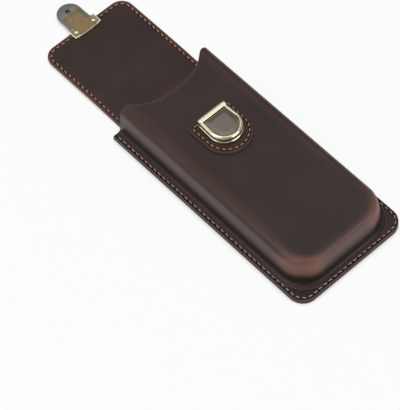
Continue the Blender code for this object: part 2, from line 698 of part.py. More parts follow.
def build_case():
    """Model every piece, body by body."""
    clear_scene()
    brown = finish("brown_leather", (0.062, 0.040, 0.036), 0.42, 0.0)
    inner = finish("inner_leather", (0.050, 0.032, 0.028), 0.55, 0.0)
    brass = finish("antique_brass", (0.62, 0.53, 0.31), 0.28, 1.0)
    knurled = finish("tongue_brass", (0.40, 0.31, 0.18), 0.40, 1.0)
    nickel = finish("button_metal", (0.42, 0.41, 0.38), 0.35, 1.0)
    steel = finish("spring_steel", (0.45, 0.45, 0.46), 0.35, 1.0)

    back_panel(brown)
    front_shell(brown)
    lock_patch(brown)
    lock_base_plate(brass)
    lock_frame(brass)
    lock_back_plate(steel)
    lock_rivet(brass, "lock_rivet_left", -1)
    lock_rivet(brass, "lock_rivet_right", 1)
    lock_spring(steel)

    press = carrier("button_guide", (0, CATCH_PLACE, BUTTON_BOTTOM))
    lock_button(nickel, press)
    lock_catch_pin(brass, press)

    back_fold = carrier("back_fold", (0, BACK_FOLD_PLACE, BACK_FOLD_HEIGHT))
    flap_top(brown, back_fold)
    front_fold = carrier("front_fold", (0, FRONT_FOLD_PLACE, FRONT_FOLD_HEIGHT), back_fold)
    flap_front(brown, front_fold)
    flap_cover_plate(brass, front_fold)
    flap_tongue(knurled, front_fold)
    flap_rivet(brass, "flap_rivet_left", -1, front_fold)
    flap_rivet(brass, "flap_rivet_right", 1, front_fold)

    runner = carrier("tray_runner", (0, TRAY_BACK, TRAY_BOTTOM))
    tray_sheet("tray_base", inner, 0, TRAY_BOTTOM, TRAY_BOTTOM + TRAY_LEATHER, runner)
    tray_sheet("tray_liner", inner, SEAM_GAP, LINER_BOTTOM, LINER_TOP, runner)
    divider("divider_left", brown, -DIVIDER_SPACING / 2, runner)
    divider("divider_right", brown, DIVIDER_SPACING / 2, runner)


build_case()
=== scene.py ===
"""Looks of a leather case for three pens: waxed leather, thread and an antique brass tongue lock.

Metres, +Z up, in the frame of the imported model. +Y runs to the mouth and on along the open flap.
"""

import json
import logging
import math
from collections.abc import Callable
from dataclasses import dataclass
from enum import Enum

import bmesh
import bpy
import numpy as np
from mathutils import Matrix, Vector

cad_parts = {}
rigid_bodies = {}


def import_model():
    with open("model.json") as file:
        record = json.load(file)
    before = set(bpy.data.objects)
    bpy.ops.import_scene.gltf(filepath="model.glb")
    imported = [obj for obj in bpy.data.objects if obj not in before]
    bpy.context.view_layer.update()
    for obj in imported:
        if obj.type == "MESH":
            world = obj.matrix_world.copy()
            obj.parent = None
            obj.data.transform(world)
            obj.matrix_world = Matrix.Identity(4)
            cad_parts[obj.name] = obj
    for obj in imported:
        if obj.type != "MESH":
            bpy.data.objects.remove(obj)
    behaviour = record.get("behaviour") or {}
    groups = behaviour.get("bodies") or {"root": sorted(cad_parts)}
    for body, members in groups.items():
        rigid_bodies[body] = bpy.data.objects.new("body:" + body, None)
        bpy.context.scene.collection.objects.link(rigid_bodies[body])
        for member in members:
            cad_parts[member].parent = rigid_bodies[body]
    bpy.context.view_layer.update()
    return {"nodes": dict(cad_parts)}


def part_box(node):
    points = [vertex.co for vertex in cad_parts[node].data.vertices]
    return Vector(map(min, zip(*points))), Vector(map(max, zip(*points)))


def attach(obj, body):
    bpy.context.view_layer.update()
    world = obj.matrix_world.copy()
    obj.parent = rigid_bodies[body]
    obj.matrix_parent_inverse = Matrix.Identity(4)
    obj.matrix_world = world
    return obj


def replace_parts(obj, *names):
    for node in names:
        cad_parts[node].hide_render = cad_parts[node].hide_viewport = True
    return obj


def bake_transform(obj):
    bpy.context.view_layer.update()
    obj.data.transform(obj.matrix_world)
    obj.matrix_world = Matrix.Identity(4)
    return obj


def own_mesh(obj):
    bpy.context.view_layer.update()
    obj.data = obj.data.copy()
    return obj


log = logging.getLogger("pen_case")

Colour = tuple[float, float, float]
Faces = list[list[int]]
Grid = np.ndarray
Material = bpy.types.Material
Object = bpy.types.Object
Socket = bpy.types.NodeSocket
Walls = tuple[bool, bool, bool, bool]

MM = 0.001
MERGE = 2e-6
FAR = 50.0
BLANK_MARKS = {"seam": FAR, "wear_and_painted_light": 0.0, "edge": 0.0, "polish": 0.0}
WHITE = (1.0, 1.0, 1.0, 1.0)


class Finish(Enum):
    """The record's material slots."""

    BROWN = "brown_leather"
    INNER = "inner_leather"
    BRASS = "antique_brass"
    TONGUE = "tongue_brass"
    BUTTON = "button_metal"
    STEEL = "spring_steel"


Looks = dict[str | Finish, Material]


# Shader maths


class Wire:
    """A number that flows through a node tree, with arithmetic on it."""

    def __init__(self, graph: "Graph", socket: Socket) -> None:
        """Keep the graph and the socket that gives the number."""
        self.graph = graph
        self.socket = socket

    def __add__(self, other: "Wire | float") -> "Wire":
        """Sum."""
        return self.graph.math("ADD", self, other)

    __radd__ = __add__

    def __sub__(self, other: "Wire | float") -> "Wire":
        """Difference."""
        return self.graph.math("SUBTRACT", self, other)

    def __rsub__(self, other: float) -> "Wire":
        """Difference from a number."""
        return self.graph.math("SUBTRACT", other, self)

    def __mul__(self, other: "Wire | float") -> "Wire":
        """Product."""
        return self.graph.math("MULTIPLY", self, other)

    __rmul__ = __mul__

    def __abs__(self) -> "Wire":
        """Size without sign."""
        return self.graph.math("ABSOLUTE", self)

    def sine(self) -> "Wire":
        """Sine of an angle in radians."""
        return self.graph.math("SINE", self)

    def clamped(self) -> "Wire":
        """Held between 0 and 1."""
        return self.graph.math("MAXIMUM", self.graph.math("MINIMUM", self, 1.0), 0.0)

    def step(self, low: float, high: float) -> "Wire":
        """Smooth step: 0 below low, 1 above high.

        Args:
            low: Value at which the step starts.
            high: Value at which the step has ended; below low for a falling step.

        Returns:
            The eased share, 3t^2 - 2t^3 of the linear share t.
        """
        share = ((self - low) * (1 / (high - low))).clamped()
        return share * share * (3.0 - 2.0 * share)


class Graph:
    """Builds the node tree of a material or a world."""

    def __init__(self, name: str, world: bool = False) -> None:
        """Start the empty tree of a new material, or of a new world."""
        self.block = (bpy.data.worlds if world else bpy.data.materials).new(name)
        self.block.use_nodes = True
        self.tree = self.block.node_tree
        self.tree.nodes.clear()

    def node(self, kind: str, settings: dict | None = None, sockets: dict | None = None) -> bpy.types.Node:
        """Add a node.

        Args:
            kind: The node's type without its ShaderNode prefix.
            settings: Properties that are set before the sockets.
            sockets: Values or links by the socket's name or number.

        Returns:
            The new node.
        """
        made = self.tree.nodes.new("ShaderNode" + kind)
        for key, value in (settings or {}).items():
            setattr(made, key, value)
        for key, value in (sockets or {}).items():
            if isinstance(value, Wire):
                value = value.socket
            if isinstance(value, Socket):
                self.tree.links.new(value, made.inputs[key])
            else:
                made.inputs[key].default_value = value
        return made

    def math(self, operation: str, *values: Wire | float) -> Wire:
        """One Math node on wires and numbers."""
        made = self.node("Math", {"operation": operation}, dict(enumerate(values)))
        return Wire(self, made.outputs[0])

    def attribute(self, name: str) -> Wire:
        """A number that the mesh carries at its points."""
        return Wire(self, self.node("Attribute", {"attribute_name": name}).outputs["Fac"])

    def place(self) -> Socket:
        """The point's place at rest, in millimetres, as the mesh carries it."""
        return self.node("Attribute", {"attribute_name": "place"}).outputs["Vector"]

    def stretched(self, vector: Socket, factors: Colour) -> Socket:
        """A vector with its parts multiplied by the factors."""
        return self.node("VectorMath", {"operation": "MULTIPLY"}, {0: vector, 1: factors}).outputs[0]

    def axes(self, vector: Socket) -> tuple[Wire, Wire, Wire]:
        """The three parts of a vector."""
        made = self.node("SeparateXYZ", None, {0: vector})
        return tuple(Wire(self, made.outputs[i]) for i in range(3))

    def noise(self, vector: Socket, size: float, detail: float = 3.0, rough: float = 0.55) -> Wire:
        """Cloudy noise.

        Args:
            vector: Place in millimetres.
            size: Size of a cloud in millimetres.
            detail: Octaves.
            rough: Strength of the finer octaves.

        Returns:
            A number round 0.5.
        """
        sockets = {"Vector": vector, "Scale": 1 / size, "Detail": detail, "Roughness": rough}
        return Wire(self, self.node("TexNoise", None, sockets).outputs[0])

    def cells(self, vector: Socket, size: float, feature: str = "F1") -> Wire:
        """Distance inside random cells of a size in millimetres."""
        made = self.node("TexVoronoi", {"feature": feature}, {"Vector": vector, "Scale": 1 / size})
        return Wire(self, made.outputs["Distance"])

    def mixed(self, share: Wire | float, first: Colour | Socket, second: Colour | Socket) -> Socket:
        """Colour that goes from the first to the second with the share."""
        ends = [(*colour, 1.0) if isinstance(colour, tuple) else colour for colour in (first, second)]
        return self.node("Mix", {"data_type": "RGBA"}, {0: share, 6: ends[0], 7: ends[1]}).outputs[2]

    def bumped(self, height: Wire, depth: float, below: Socket | None = None) -> Socket:
        """Normal of a relief.

        Args:
            height: Height from 0 to 1.
            depth: Depth of the relief in millimetres.
            below: Normal that the relief lies on.

        Returns:
            The bumped normal.
        """
        sockets = {"Strength": 1.0, "Distance": depth * MM, "Height": height}
        if below is not None:
            sockets["Normal"] = below
        return self.node("Bump", None, sockets).outputs[0]

    def finished(self, sockets: dict) -> Material:
        """Close the tree with a Principled shader that has these sockets."""
        shader = self.node("BsdfPrincipled", None, sockets)
        self.node("OutputMaterial", None, {"Surface": shader.outputs[0]})
        return self.block


def scaled_colour(colour: Colour, share: float) -> Colour:
    """A colour scaled down to a share of itself."""
    return tuple(part * share for part in colour)


# Finishes


@dataclass(frozen=True)
class WaxedLeather:
    """Pull-up leather: cloudy wax, fine pores, worn edges and sunk stitch lines with painted shade in them. Its
    mesh mark either lays on the rubbing colour, which is also a painted sheen on the shell's walls, or darkens
    the leather, which is painted shade on the shell's foot and flange and its face darker towards the closed
    end. Sizes in millimetres.
    """

    name: str
    dark: Colour
    light: Colour
    rubbed_and_sheen: Colour
    cut: Colour
    sheen: Colour = (1.0, 0.80, 0.76)
    roughness: float = 0.31
    specular: float = 0.32
    coat_roughness: float = 0.46
    cloud_size: float = 34.0
    mottle_size: float = 6.0
    fine_size: float = 0.9
    fibre_size: float = 0.8
    pore_size: float = 0.75
    wrinkle_size: float = 1.9
    pore_depth: float = 0.018
    wrinkle_depth: float = 0.016
    fine_depth: float = 0.05
    seam_depth: float = 0.38
    # Share of the dark colour where the leather is darkened: painted shade on the shell's foot and flange, and
    # its darker face.
    darkened_share: float = 0.2
    groove_shade_share: float = 0.25
    fibre_share: float = 0.55
    mottle_tint: float = 0.15
    groove_shade: float = 0.80
    ragged_mottle: float = 0.30
    ragged_fine: float = 0.12
    rough_mottle: float = 0.10
    rough_clouds: float = 0.04
    rough_edge: float = 0.45
    rough_groove: float = 0.2
    rough_darkened: float = 0.65
    rough_polish: float = 0.30

    def build(self) -> Material:
        """Make the material.

        Returns:
            A material that reads place, seam, wear_and_painted_light, edge and polish from the mesh.
        """
        g = Graph(self.name)
        place = g.place()
        wear_and_painted_light = g.attribute("wear_and_painted_light")
        edge = g.attribute("edge")
        seam = abs(g.attribute("seam"))
        clouds = g.noise(place, self.cloud_size, 3.0, 0.5)
        mottle = g.noise(place, self.mottle_size)
        fine = g.noise(place, self.fine_size, 2.0)
        colour = g.mixed(clouds.step(0.25, 0.75), self.dark, self.light)
        colour = g.mixed((mottle.step(0.5, 0.8) * self.mottle_tint), colour, self.dark)
        ragged = (mottle - 0.5) * self.ragged_mottle + (fine - 0.5) * self.ragged_fine
        ragged = wear_and_painted_light + ragged * wear_and_painted_light.step(0.0, 0.4)
        # The rubbing colour: worn edges, and a painted sheen on the shell's walls.
        colour = g.mixed(ragged.step(0.0, 1.0), colour, self.rubbed_and_sheen)
        # Negative wear_and_painted_light darkens the leather: painted shade on the shell's foot and flange, and
        # its face darker towards the closed end.
        colour = g.mixed((wear_and_painted_light * -1.0).clamped(), colour, scaled_colour(self.dark, self.darkened_share))
        # Painted shade in the sunk stitch groove.
        groove = 1.0 - seam.step(0.25, 0.95)
        colour = g.mixed(groove * self.groove_shade, colour, scaled_colour(self.dark, self.groove_shade_share))
        fibre = g.noise(g.stretched(place, (1.0, 1.0, 4.0)), self.fibre_size, 3.0, 0.7)
        cut = g.mixed(fibre.step(0.35, 0.7), self.cut, scaled_colour(self.cut, self.fibre_share))
        # The cut colour on cut edges, and as a painted highlight on the shell's crease lip.
        colour = g.mixed(edge.step(0.35, 0.8), colour, cut)
        pores = g.cells(place, self.pore_size)
        net = g.cells(g.stretched(place, (1.0, 0.75, 1.0)), self.wrinkle_size, "DISTANCE_TO_EDGE")
        wrinkles = net.step(0.0, 0.16)
        normal = g.bumped(pores, self.pore_depth)
        normal = g.bumped(wrinkles * clouds.step(0.3, 0.7), self.wrinkle_depth, normal)
        normal = g.bumped(fine, self.fine_depth, normal)
        normal = g.bumped(1.0 - groove, self.seam_depth, normal)
        rough = (mottle - 0.5) * self.rough_mottle + (1.0 - clouds.step(0.3, 0.7)) * self.rough_clouds
        rough = rough + edge * self.rough_edge + groove * self.rough_groove
        rough = rough + (wear_and_painted_light * -1.0).clamped() * self.rough_darkened + g.attribute("polish") * self.rough_polish
        sockets = {"Base Color": colour, "Roughness": (rough + self.roughness).clamped(), "Normal": normal}
        sockets["Specular IOR Level"] = self.specular
        sockets["Coat Weight"] = g.attribute("polish")
        sockets["Coat Roughness"] = self.coat_roughness
        sockets["Specular Tint"] = (*self.sheen, 1.0)
        return g.finished(sockets)


@dataclass(frozen=True)
class Knurling:
    """Cross-hatched field of the tongue's plate and the colours round it, with a pale rim painted as a
    highlight. Places in millimetres.
    """

    pitch: float
    half: float
    low: float
    high: float
    border: Colour
    plate: Colour
    # Near white: a painted highlight along the plate's edges.
    rim: Colour
    plate_half: float
    plate_end: float
    arch: float
    depth: float = 0.16
    hollow_share: float = 0.70

    def coloured(self, g: Graph, x: Wire, y: Wire, colour: Socket) -> Socket:
        """Dull border beside and beyond the golden middle, and a pale rim painted along the plate's end and
        sides as a highlight.

        Args:
            g: The graph.
            x: Place across.
            y: Place along.
            colour: Colour of the metal.

        Returns:
            The colour with border, plate and rim.
        """
        golden = abs(x).step(self.half + 1.4, self.half - 2.2) * y.step(self.high + 6.0, self.high - 5.0)
        beyond = y.step(self.low + 6.0, self.low + 10.0)
        colour = g.mixed((1.0 - golden) * beyond, colour, self.border)
        colour = g.mixed((1.0 - golden) * (1.0 - beyond), colour, self.plate)
        past_end = y - self.plate_end + self.arch - x * x * (self.arch / self.plate_half**2)
        end = past_end.step(0.85, 0.45)
        sides = abs(x).step(self.plate_half - 0.8, self.plate_half - 0.4)
        # Painted highlight: the pale rim along the plate's end and sides.
        return g.mixed(g.math("MAXIMUM", end, sides), colour, self.rim)

    def share(self, x: Wire, y: Wire) -> Wire:
        """1 inside the knurled field, 0 outside it."""
        across = abs(x).step(self.half + 0.8, self.half - 0.8)
        return across * y.step(self.low - 0.4, self.low + 0.4) * y.step(self.high + 2.0, self.high - 2.0)

    def relief(self, x: Wire, y: Wire) -> Wire:
        """Height of the points that two crossing sets of grooves leave, |sin(x + y) sin(x - y)|."""
        turn = math.pi / self.pitch
        cross = abs(((x + y) * turn).sine()) * abs(((x - y) * turn).sine())
        return cross.step(0.05, 0.70)


@dataclass(frozen=True)
class AntiqueMetal:
    """Cast or pressed metal with darkened hollows and fine handling marks. Sizes in millimetres."""

    name: str
    bright: Colour
    tarnish: Colour
    roughness: float
    tarnish_share: float = 0.35
    brushed: bool = False
    knurling: Knurling | None = None
    hole: tuple[float, float] | None = None
    cloud_size: float = 3.4
    grain_size: float = 0.35
    spot_size: float = 0.8
    grain_depth: float = 0.005
    spot_share: float = 0.22
    rough_clouds: float = 0.12
    rough_grain: float = 0.08
    rough_tarnish: float = 0.18
    rough_knurl: float = 0.05
    # Near black for the painted shade round the hole.
    inside: Colour = (0.006, 0.006, 0.006)

    def build(self) -> Material:
        """Make the material.

        Returns:
            A metal that reads place, with its knurled field and the painted shade round its hole where it has
            them.
        """
        g = Graph(self.name)
        place = g.place()
        clouds = g.noise(place, self.cloud_size, 4.0, 0.65)
        stretch = (0.25, 3.0, 3.0) if self.brushed else (1.0, 1.0, 1.0)
        grain = g.noise(g.stretched(place, stretch), self.grain_size)
        spots = g.cells(place, self.spot_size).step(0.10, 0.34)
        stained = clouds.step(0.42, 0.72) * self.tarnish_share
        tarnish = (stained + (1.0 - spots) * self.spot_share * self.tarnish_share).clamped()
        colour = g.mixed(tarnish, self.bright, self.tarnish)
        normal = g.bumped(grain, self.grain_depth)
        rough = (clouds - 0.5) * self.rough_clouds + (grain - 0.5) * self.rough_grain
        rough = rough + tarnish * self.rough_tarnish + self.roughness
        if self.knurling:
            x, y, _ = g.axes(place)
            share = self.knurling.share(x, y)
            colour = self.knurling.coloured(g, x, y, colour)
            relief = self.knurling.relief(x, y)
            normal = g.bumped(relief * share, self.knurling.depth, normal)
            colour = g.mixed((1.0 - relief) * share * self.knurling.hollow_share, colour, self.tarnish)
            rough = rough + share * self.rough_knurl
        if self.hole:
            x, y, _ = g.axes(place)
            middle, radius = self.hole
            away = x * x + (y - middle) * (y - middle)
            # Painted shade round the hole, which lies in the tongue's shadow.
            colour = g.mixed(away.step(radius**2 * 1.7, radius**2 * 1.4), colour, self.inside)
        sockets = {"Base Color": colour, "Metallic": 1.0, "Roughness": rough.clamped(), "Normal": normal}
        return g.finished(sockets)


@dataclass(frozen=True)
class WaxedThread:
    """Twisted linen thread. Sizes in millimetres."""

    name: str
    light: Colour
    dark: Colour
    roughness: float = 0.6
    dust_size: float = 1.2
    ply_depth: float = 0.10

    def build(self) -> Material:
        """Make the material.

        Returns:
            A material whose plies follow the mesh's twist attribute.
        """
        g = Graph(self.name)
        place = g.place()
        ply = abs(g.attribute("twist").sine())
        dust = g.noise(place, self.dust_size)
        # Darker between the plies: painted shade in the ply grooves; darker in random dust spots too.
        colour = g.mixed((1.0 - ply.step(0.05, 0.6)) * 0.7 + dust.step(0.4, 0.8) * 0.3, self.light, self.dark)
        normal = g.bumped(ply, self.ply_depth)
        rough = (dust - 0.5) * 0.2 + self.roughness
        return g.finished({"Base Color": colour, "Roughness": rough.clamped(), "Normal": normal})


# Numbers on grids


def eased(value: Grid, low: float, high: float) -> Grid:
    """Eased share of the way from low to high, 3t^2 - 2t^3."""
    share = np.clip((value - low) / (high - low), 0.0, 1.0)
    return share * share * (3.0 - 2.0 * share)


def eased_mm(value: Grid, low: float, high: float) -> Grid:
    """Eased share of the way between two lengths in millimetres."""
    return eased(value, low * MM, high * MM)


def bell(value: Grid, middle: float, width: float) -> Grid:
    """Bell curve exp(-((v - m) / w)^2)."""
    return np.exp(-(((value - middle) / width) ** 2))


def rounded_fall(depth: Grid, radius: float) -> Grid:
    """How far a surface falls towards its edge: r - sqrt(r^2 - (r - d)^2) at a depth d below r."""
    short = np.clip(radius - depth, 0, radius)
    return radius - np.sqrt(radius**2 - short**2)


def corner_loss(past: Grid, radius: float) -> Grid:
    """Half width lost in a rounded corner at a distance d past its start: r - sqrt(r^2 - d^2)."""
    return radius - np.sqrt(np.maximum(radius**2 - np.maximum(past, 0) ** 2, 0))


def spaced(breaks: list[tuple[float, int]]) -> Grid:
    """Places from the first break to the last, each stretch with its own number of steps.

    Args:
        breaks: (place, steps up to this place); the first one's steps aren't used.

    Returns:
        The places in order.
    """
    parts = [np.array([breaks[0][0]])]
    for (start, _), (end, steps) in zip(breaks, breaks[1:]):
        parts.append(np.linspace(start, end, steps + 1)[1:])
    return np.concatenate(parts)


def box_distance(x: Grid, y: Grid, half: float, ends: tuple[float, float], radii: tuple[float, float]) -> Grid:
    """Depth inside a rectangle with rounded ends, the negated signed distance to its outline.

    Args:
        x: Places across.
        y: Places along.
        half: Half width.
        ends: Lower and upper end.
        radii: Corner radius at either end.

    Returns:
        Depth of each point, positive inside.
    """
    low, high = ends
    radius = np.where(y < (low + high) / 2, *radii)
    over_x = np.abs(x) - (half - radius)
    over_y = np.abs(y - (low + high) / 2) - ((high - low) / 2 - radius)
    outside = np.hypot(np.maximum(over_x, 0), np.maximum(over_y, 0))
    inside = np.minimum(np.maximum(over_x, over_y), 0)
    return radius - outside - inside


def across_rows(
    half: Grid, y: Grid, near: tuple[float, ...], full_half: float, middle: int
) -> tuple[Grid, Grid]:
    """Grid of places whose columns draw in with each row's half width.

    Args:
        half: Half width of each row.
        y: Place of each row.
        near: Distances of the first columns from the edge, in millimetres.
        full_half: Half width at which those distances hold.
        middle: Columns between the two edges' last ones, those included.

    Returns:
        Places across and along.
    """
    near = np.array(near) * MM / full_half
    share = np.concatenate([near - 1, np.linspace(near[-1] - 1, 1 - near[-1], middle)[1:-1], (1 - near)[::-1]])
    x = half[:, None] * share[None, :]
    return x, y[:, None] + 0 * x


def arc(centre: tuple[float, float], radius: float, start: float, end: float, count: int) -> Grid:
    """Points round a centre between two angles in degrees."""
    turn = np.radians(np.linspace(start, end, count))
    return np.array([centre]) + radius * np.stack([np.cos(turn), np.sin(turn)], 1)


def surface(x: Grid, y: Grid, z: Grid | float) -> Grid:
    """Points of a grid at a height."""
    return np.stack([x, y, z + 0 * x], axis=-1)


def at_height(line: Grid, height: float) -> Grid:
    """A flat line lifted to a height."""
    return np.column_stack([line, np.full(len(line), height)])


def upward(line: Grid, sign: float = 1.0) -> Grid:
    """Straight up, or down, at each point of a line."""
    normals = np.zeros_like(line)
    normals[:, 2] = sign
    return normals


def both(upper: Grid, lower: Grid) -> Grid:
    """Numbers of a slab's two surfaces in the order of its points."""
    return np.concatenate([upper.ravel(), lower.ravel()])


def cut_edge(depth: Grid) -> Grid:
    """Share of the bare cut edge at a depth inside a sheet's outline."""
    return 0.5 * (1 - eased_mm(depth, 0.05, 0.5))


def leather_marks(seam: Grid, wear_and_painted_light: Grid, edge: Grid, outside: Grid | None = None) -> dict[str, Grid]:
    """Marks of a sheet's two faces, which are alike but for the outside's wear where it is given."""
    lower = wear_and_painted_light if outside is None else outside
    return {"seam": both(seam, seam), "wear_and_painted_light": both(wear_and_painted_light, lower), "edge": both(edge, edge)}


# Mesh helpers


def grid_faces(rows: int, columns: int, start: int = 0) -> Grid:
    """Quads of a grid of points numbered row by row, first towards +column then +row."""
    index = np.arange(rows * columns).reshape(rows, columns) + start
    quads = (index[:-1, :-1], index[:-1, 1:], index[1:, 1:], index[1:, :-1])
    return np.stack([q.ravel() for q in quads], axis=1)


def closed_tube(rows: int, columns: int) -> Faces:
    """Faces of rows of a closed line, with a cap at both ends."""
    index = np.arange(rows * columns).reshape(rows, columns)
    after = np.roll(index, -1, axis=1)
    quads = np.stack([index[:-1], after[:-1], after[1:], index[1:]], axis=-1).reshape(-1, 4)
    return quads.tolist() + [index[0, ::-1].tolist(), index[-1].tolist()]


def slab(top: Grid, bottom: Grid, walls: Walls = (True, True, True, True)) -> tuple[Grid, Faces]:
    """Closed sheet between two grids of the same size.

    Args:
        top: (rows, columns, 3) outer surface.
        bottom: The surface under it.
        walls: Whether the first row, last row, first column and last column get a wall.

    Returns:
        Points and quads.
    """
    rows, columns = top.shape[:2]
    count = rows * columns
    points = np.concatenate([top.reshape(-1, 3), bottom.reshape(-1, 3)])
    index = np.arange(count).reshape(rows, columns)
    borders = (index[0, ::-1], index[-1], index[:, 0], index[::-1, -1])
    faces = [grid_faces(rows, columns), grid_faces(rows, columns, count)[:, ::-1]]
    for border, wanted in zip(borders, walls):
        if wanted:
            a, b = border[:-1], border[1:]
            faces.append(np.stack([a, b, b + count, a + count], axis=1))
    return points, np.concatenate(faces).tolist()


def joined(shapes: list[tuple[Grid, Faces]]) -> tuple[Grid, Faces]:
    """Points and faces of several closed shapes as one list each."""
    points, faces, count = [], [], 0
    for made, quads in shapes:
        points.append(made)
        faces += [[index + count for index in face] for face in quads]
        count += len(made)
    return np.concatenate(points), faces


def keep_place(mesh: bpy.types.Mesh) -> None:
    """Store each point's place at rest, in millimetres, so that patterns stay when the leather bends."""
    places = np.zeros(len(mesh.vertices) * 3, np.float32)
    mesh.vertices.foreach_get("co", places)
    layer = mesh.attributes.get("place") or mesh.attributes.new("place", "FLOAT_VECTOR", "POINT")
    layer.data.foreach_set("vector", places / MM)


def finish_mesh(mesh: bpy.types.Mesh, name: str, material: Material, crease: float) -> Object:
    """Keep a mesh's places, shade it smooth up to a crease angle and put it into a new object."""
    keep_place(mesh)
    mesh.materials.append(material)
    mesh.shade_smooth()
    mesh.set_sharp_from_angle(angle=math.radians(crease))
    obj = bpy.data.objects.new(name, mesh)
    bpy.context.scene.collection.objects.link(obj)
    return obj


def make_mesh(
    name: str,
    points: Grid,
    faces: Faces,
    material: Material,
    marks: dict[str, Grid] | None = None,
    crease: float = 50.0,
) -> Object:
    """Put arrays into a mesh object at the origin, with doubles merged and faces turned outwards.

    Args:
        name: Name of the piece.
        points: (n, 3) places in metres.
        faces: Faces by point numbers.
        material: Its material.
        marks: Numbers at the points.
        crease: Angle in degrees above which an edge stays sharp.

    Returns:
        The object.
    """
    mesh = bpy.data.meshes.new(name)
    mesh.from_pydata(points.tolist(), [], faces)
    values = {key: np.full(len(points), blank) for key, blank in BLANK_MARKS.items()}
    values.update(marks or {})
    for key, numbers in values.items():
        layer = mesh.attributes.new(key, "FLOAT", "POINT")
        layer.data.foreach_set("value", np.asarray(numbers, np.float32).ravel())
    shape = bmesh.new()
    shape.from_mesh(mesh)
    bmesh.ops.remove_doubles(shape, verts=shape.verts, dist=MERGE)
    bmesh.ops.recalc_face_normals(shape, faces=shape.faces)
    shape.to_mesh(mesh)
    shape.free()
    return finish_mesh(mesh, name, material, crease)


def shift(obj: Object, across: float) -> None:
    """Move a mesh sideways, with the places that it keeps."""
    obj.data.transform(Matrix.Translation((across, 0, 0)))
    keep_place(obj.data)


@dataclass
class Stitching:
    """A row of saddle stitches along a path."""

    name: str
    length: float = 2.9 * MM
    radius: float = 0.39 * MM
    pitch: float = 3.95 * MM
    tilt: float = math.radians(-7.0)
    lift: float = 0.18 * MM
    sink: float = 1.2
    tip: float = 0.06
    flat: float = 0.85
    twist: float = 2.6
    sides: int = 6
    steps: int = 6

    def build(self, path: Grid, up: Grid, material: Material, closed: bool = False) -> Object:
        """Place a stitch at each pitch of the path's length.

        A stitch is a tube whose radius is r(1 - a^6)^(1/2) and whose axis sinks by 1.2 r a^4
        towards its ends, for a from -1 to 1 along it.

        Args:
            path: (n, 3) points of the line.
            up: (n, 3) outward directions of the leather there.
            material: The thread's material.
            closed: Whether the path comes back to its start.

        Returns:
            One mesh that holds the whole row.
        """
        if closed:
            path = np.concatenate([path, path[:1]])
            up = np.concatenate([up, up[:1]])
        run = np.concatenate([[0.0], np.cumsum(np.linalg.norm(np.diff(path, axis=0), axis=1))])
        count = max(int(round(run[-1] / self.pitch)), 1)
        middles = (np.arange(count) + 0.5) * run[-1] / count
        share = np.linspace(-1.0, 1.0, self.steps + 1)
        along = middles[:, None] + share[None, :] * self.length / 2
        centre = np.stack([np.interp(along, run, path[:, i]) for i in range(3)], axis=-1)
        out = np.stack([np.interp(along, run, up[:, i]) for i in range(3)], axis=-1)
        out /= np.linalg.norm(out, axis=-1, keepdims=True)
        forward = np.gradient(centre, axis=1)
        forward /= np.linalg.norm(forward, axis=-1, keepdims=True)
        side = np.cross(out, forward)
        centre = centre + side * (share * self.length / 2 * math.tan(self.tilt))[None, :, None]
        centre = centre + out * (self.lift - self.sink * self.radius * share**4)[None, :, None]
        thick = self.radius * np.sqrt(np.maximum(1 - np.abs(share) ** 6, self.tip))
        angles = np.arange(self.sides) * math.tau / self.sides
        across = side[:, :, None] * np.cos(angles)[:, None]
        ring = across + out[:, :, None] * np.sin(angles)[:, None] * self.flat
        points = centre[:, :, None] + ring * thick[None, :, None, None]
        twist = (along[:, :, None] / MM * self.twist + angles[None, None, :]).ravel()
        return make_mesh(self.name, points.reshape(-1, 3), self.faces(count), material, {"twist": twist}, 80.0)

    def faces(self, count: int) -> Faces:
        """Quads and caps of that many tubes."""
        block = (self.steps + 1) * self.sides
        s, t = np.meshgrid(np.arange(self.steps), np.arange(self.sides), indexing="ij")
        low, after = s * self.sides, (t + 1) % self.sides
        quad = np.stack([low + t, low + after, low + self.sides + after, low + self.sides + t], -1)
        starts = np.arange(count)[:, None] * block
        quads = (quad.reshape(1, -1, 4) + starts[:, :, None]).reshape(-1, 4)
        first = np.arange(self.sides)[::-1] + starts
        last = np.arange(self.sides) + starts + block - self.sides
        return quads.tolist() + np.stack([first, last], 1).reshape(-1, self.sides).tolist()


# Case body


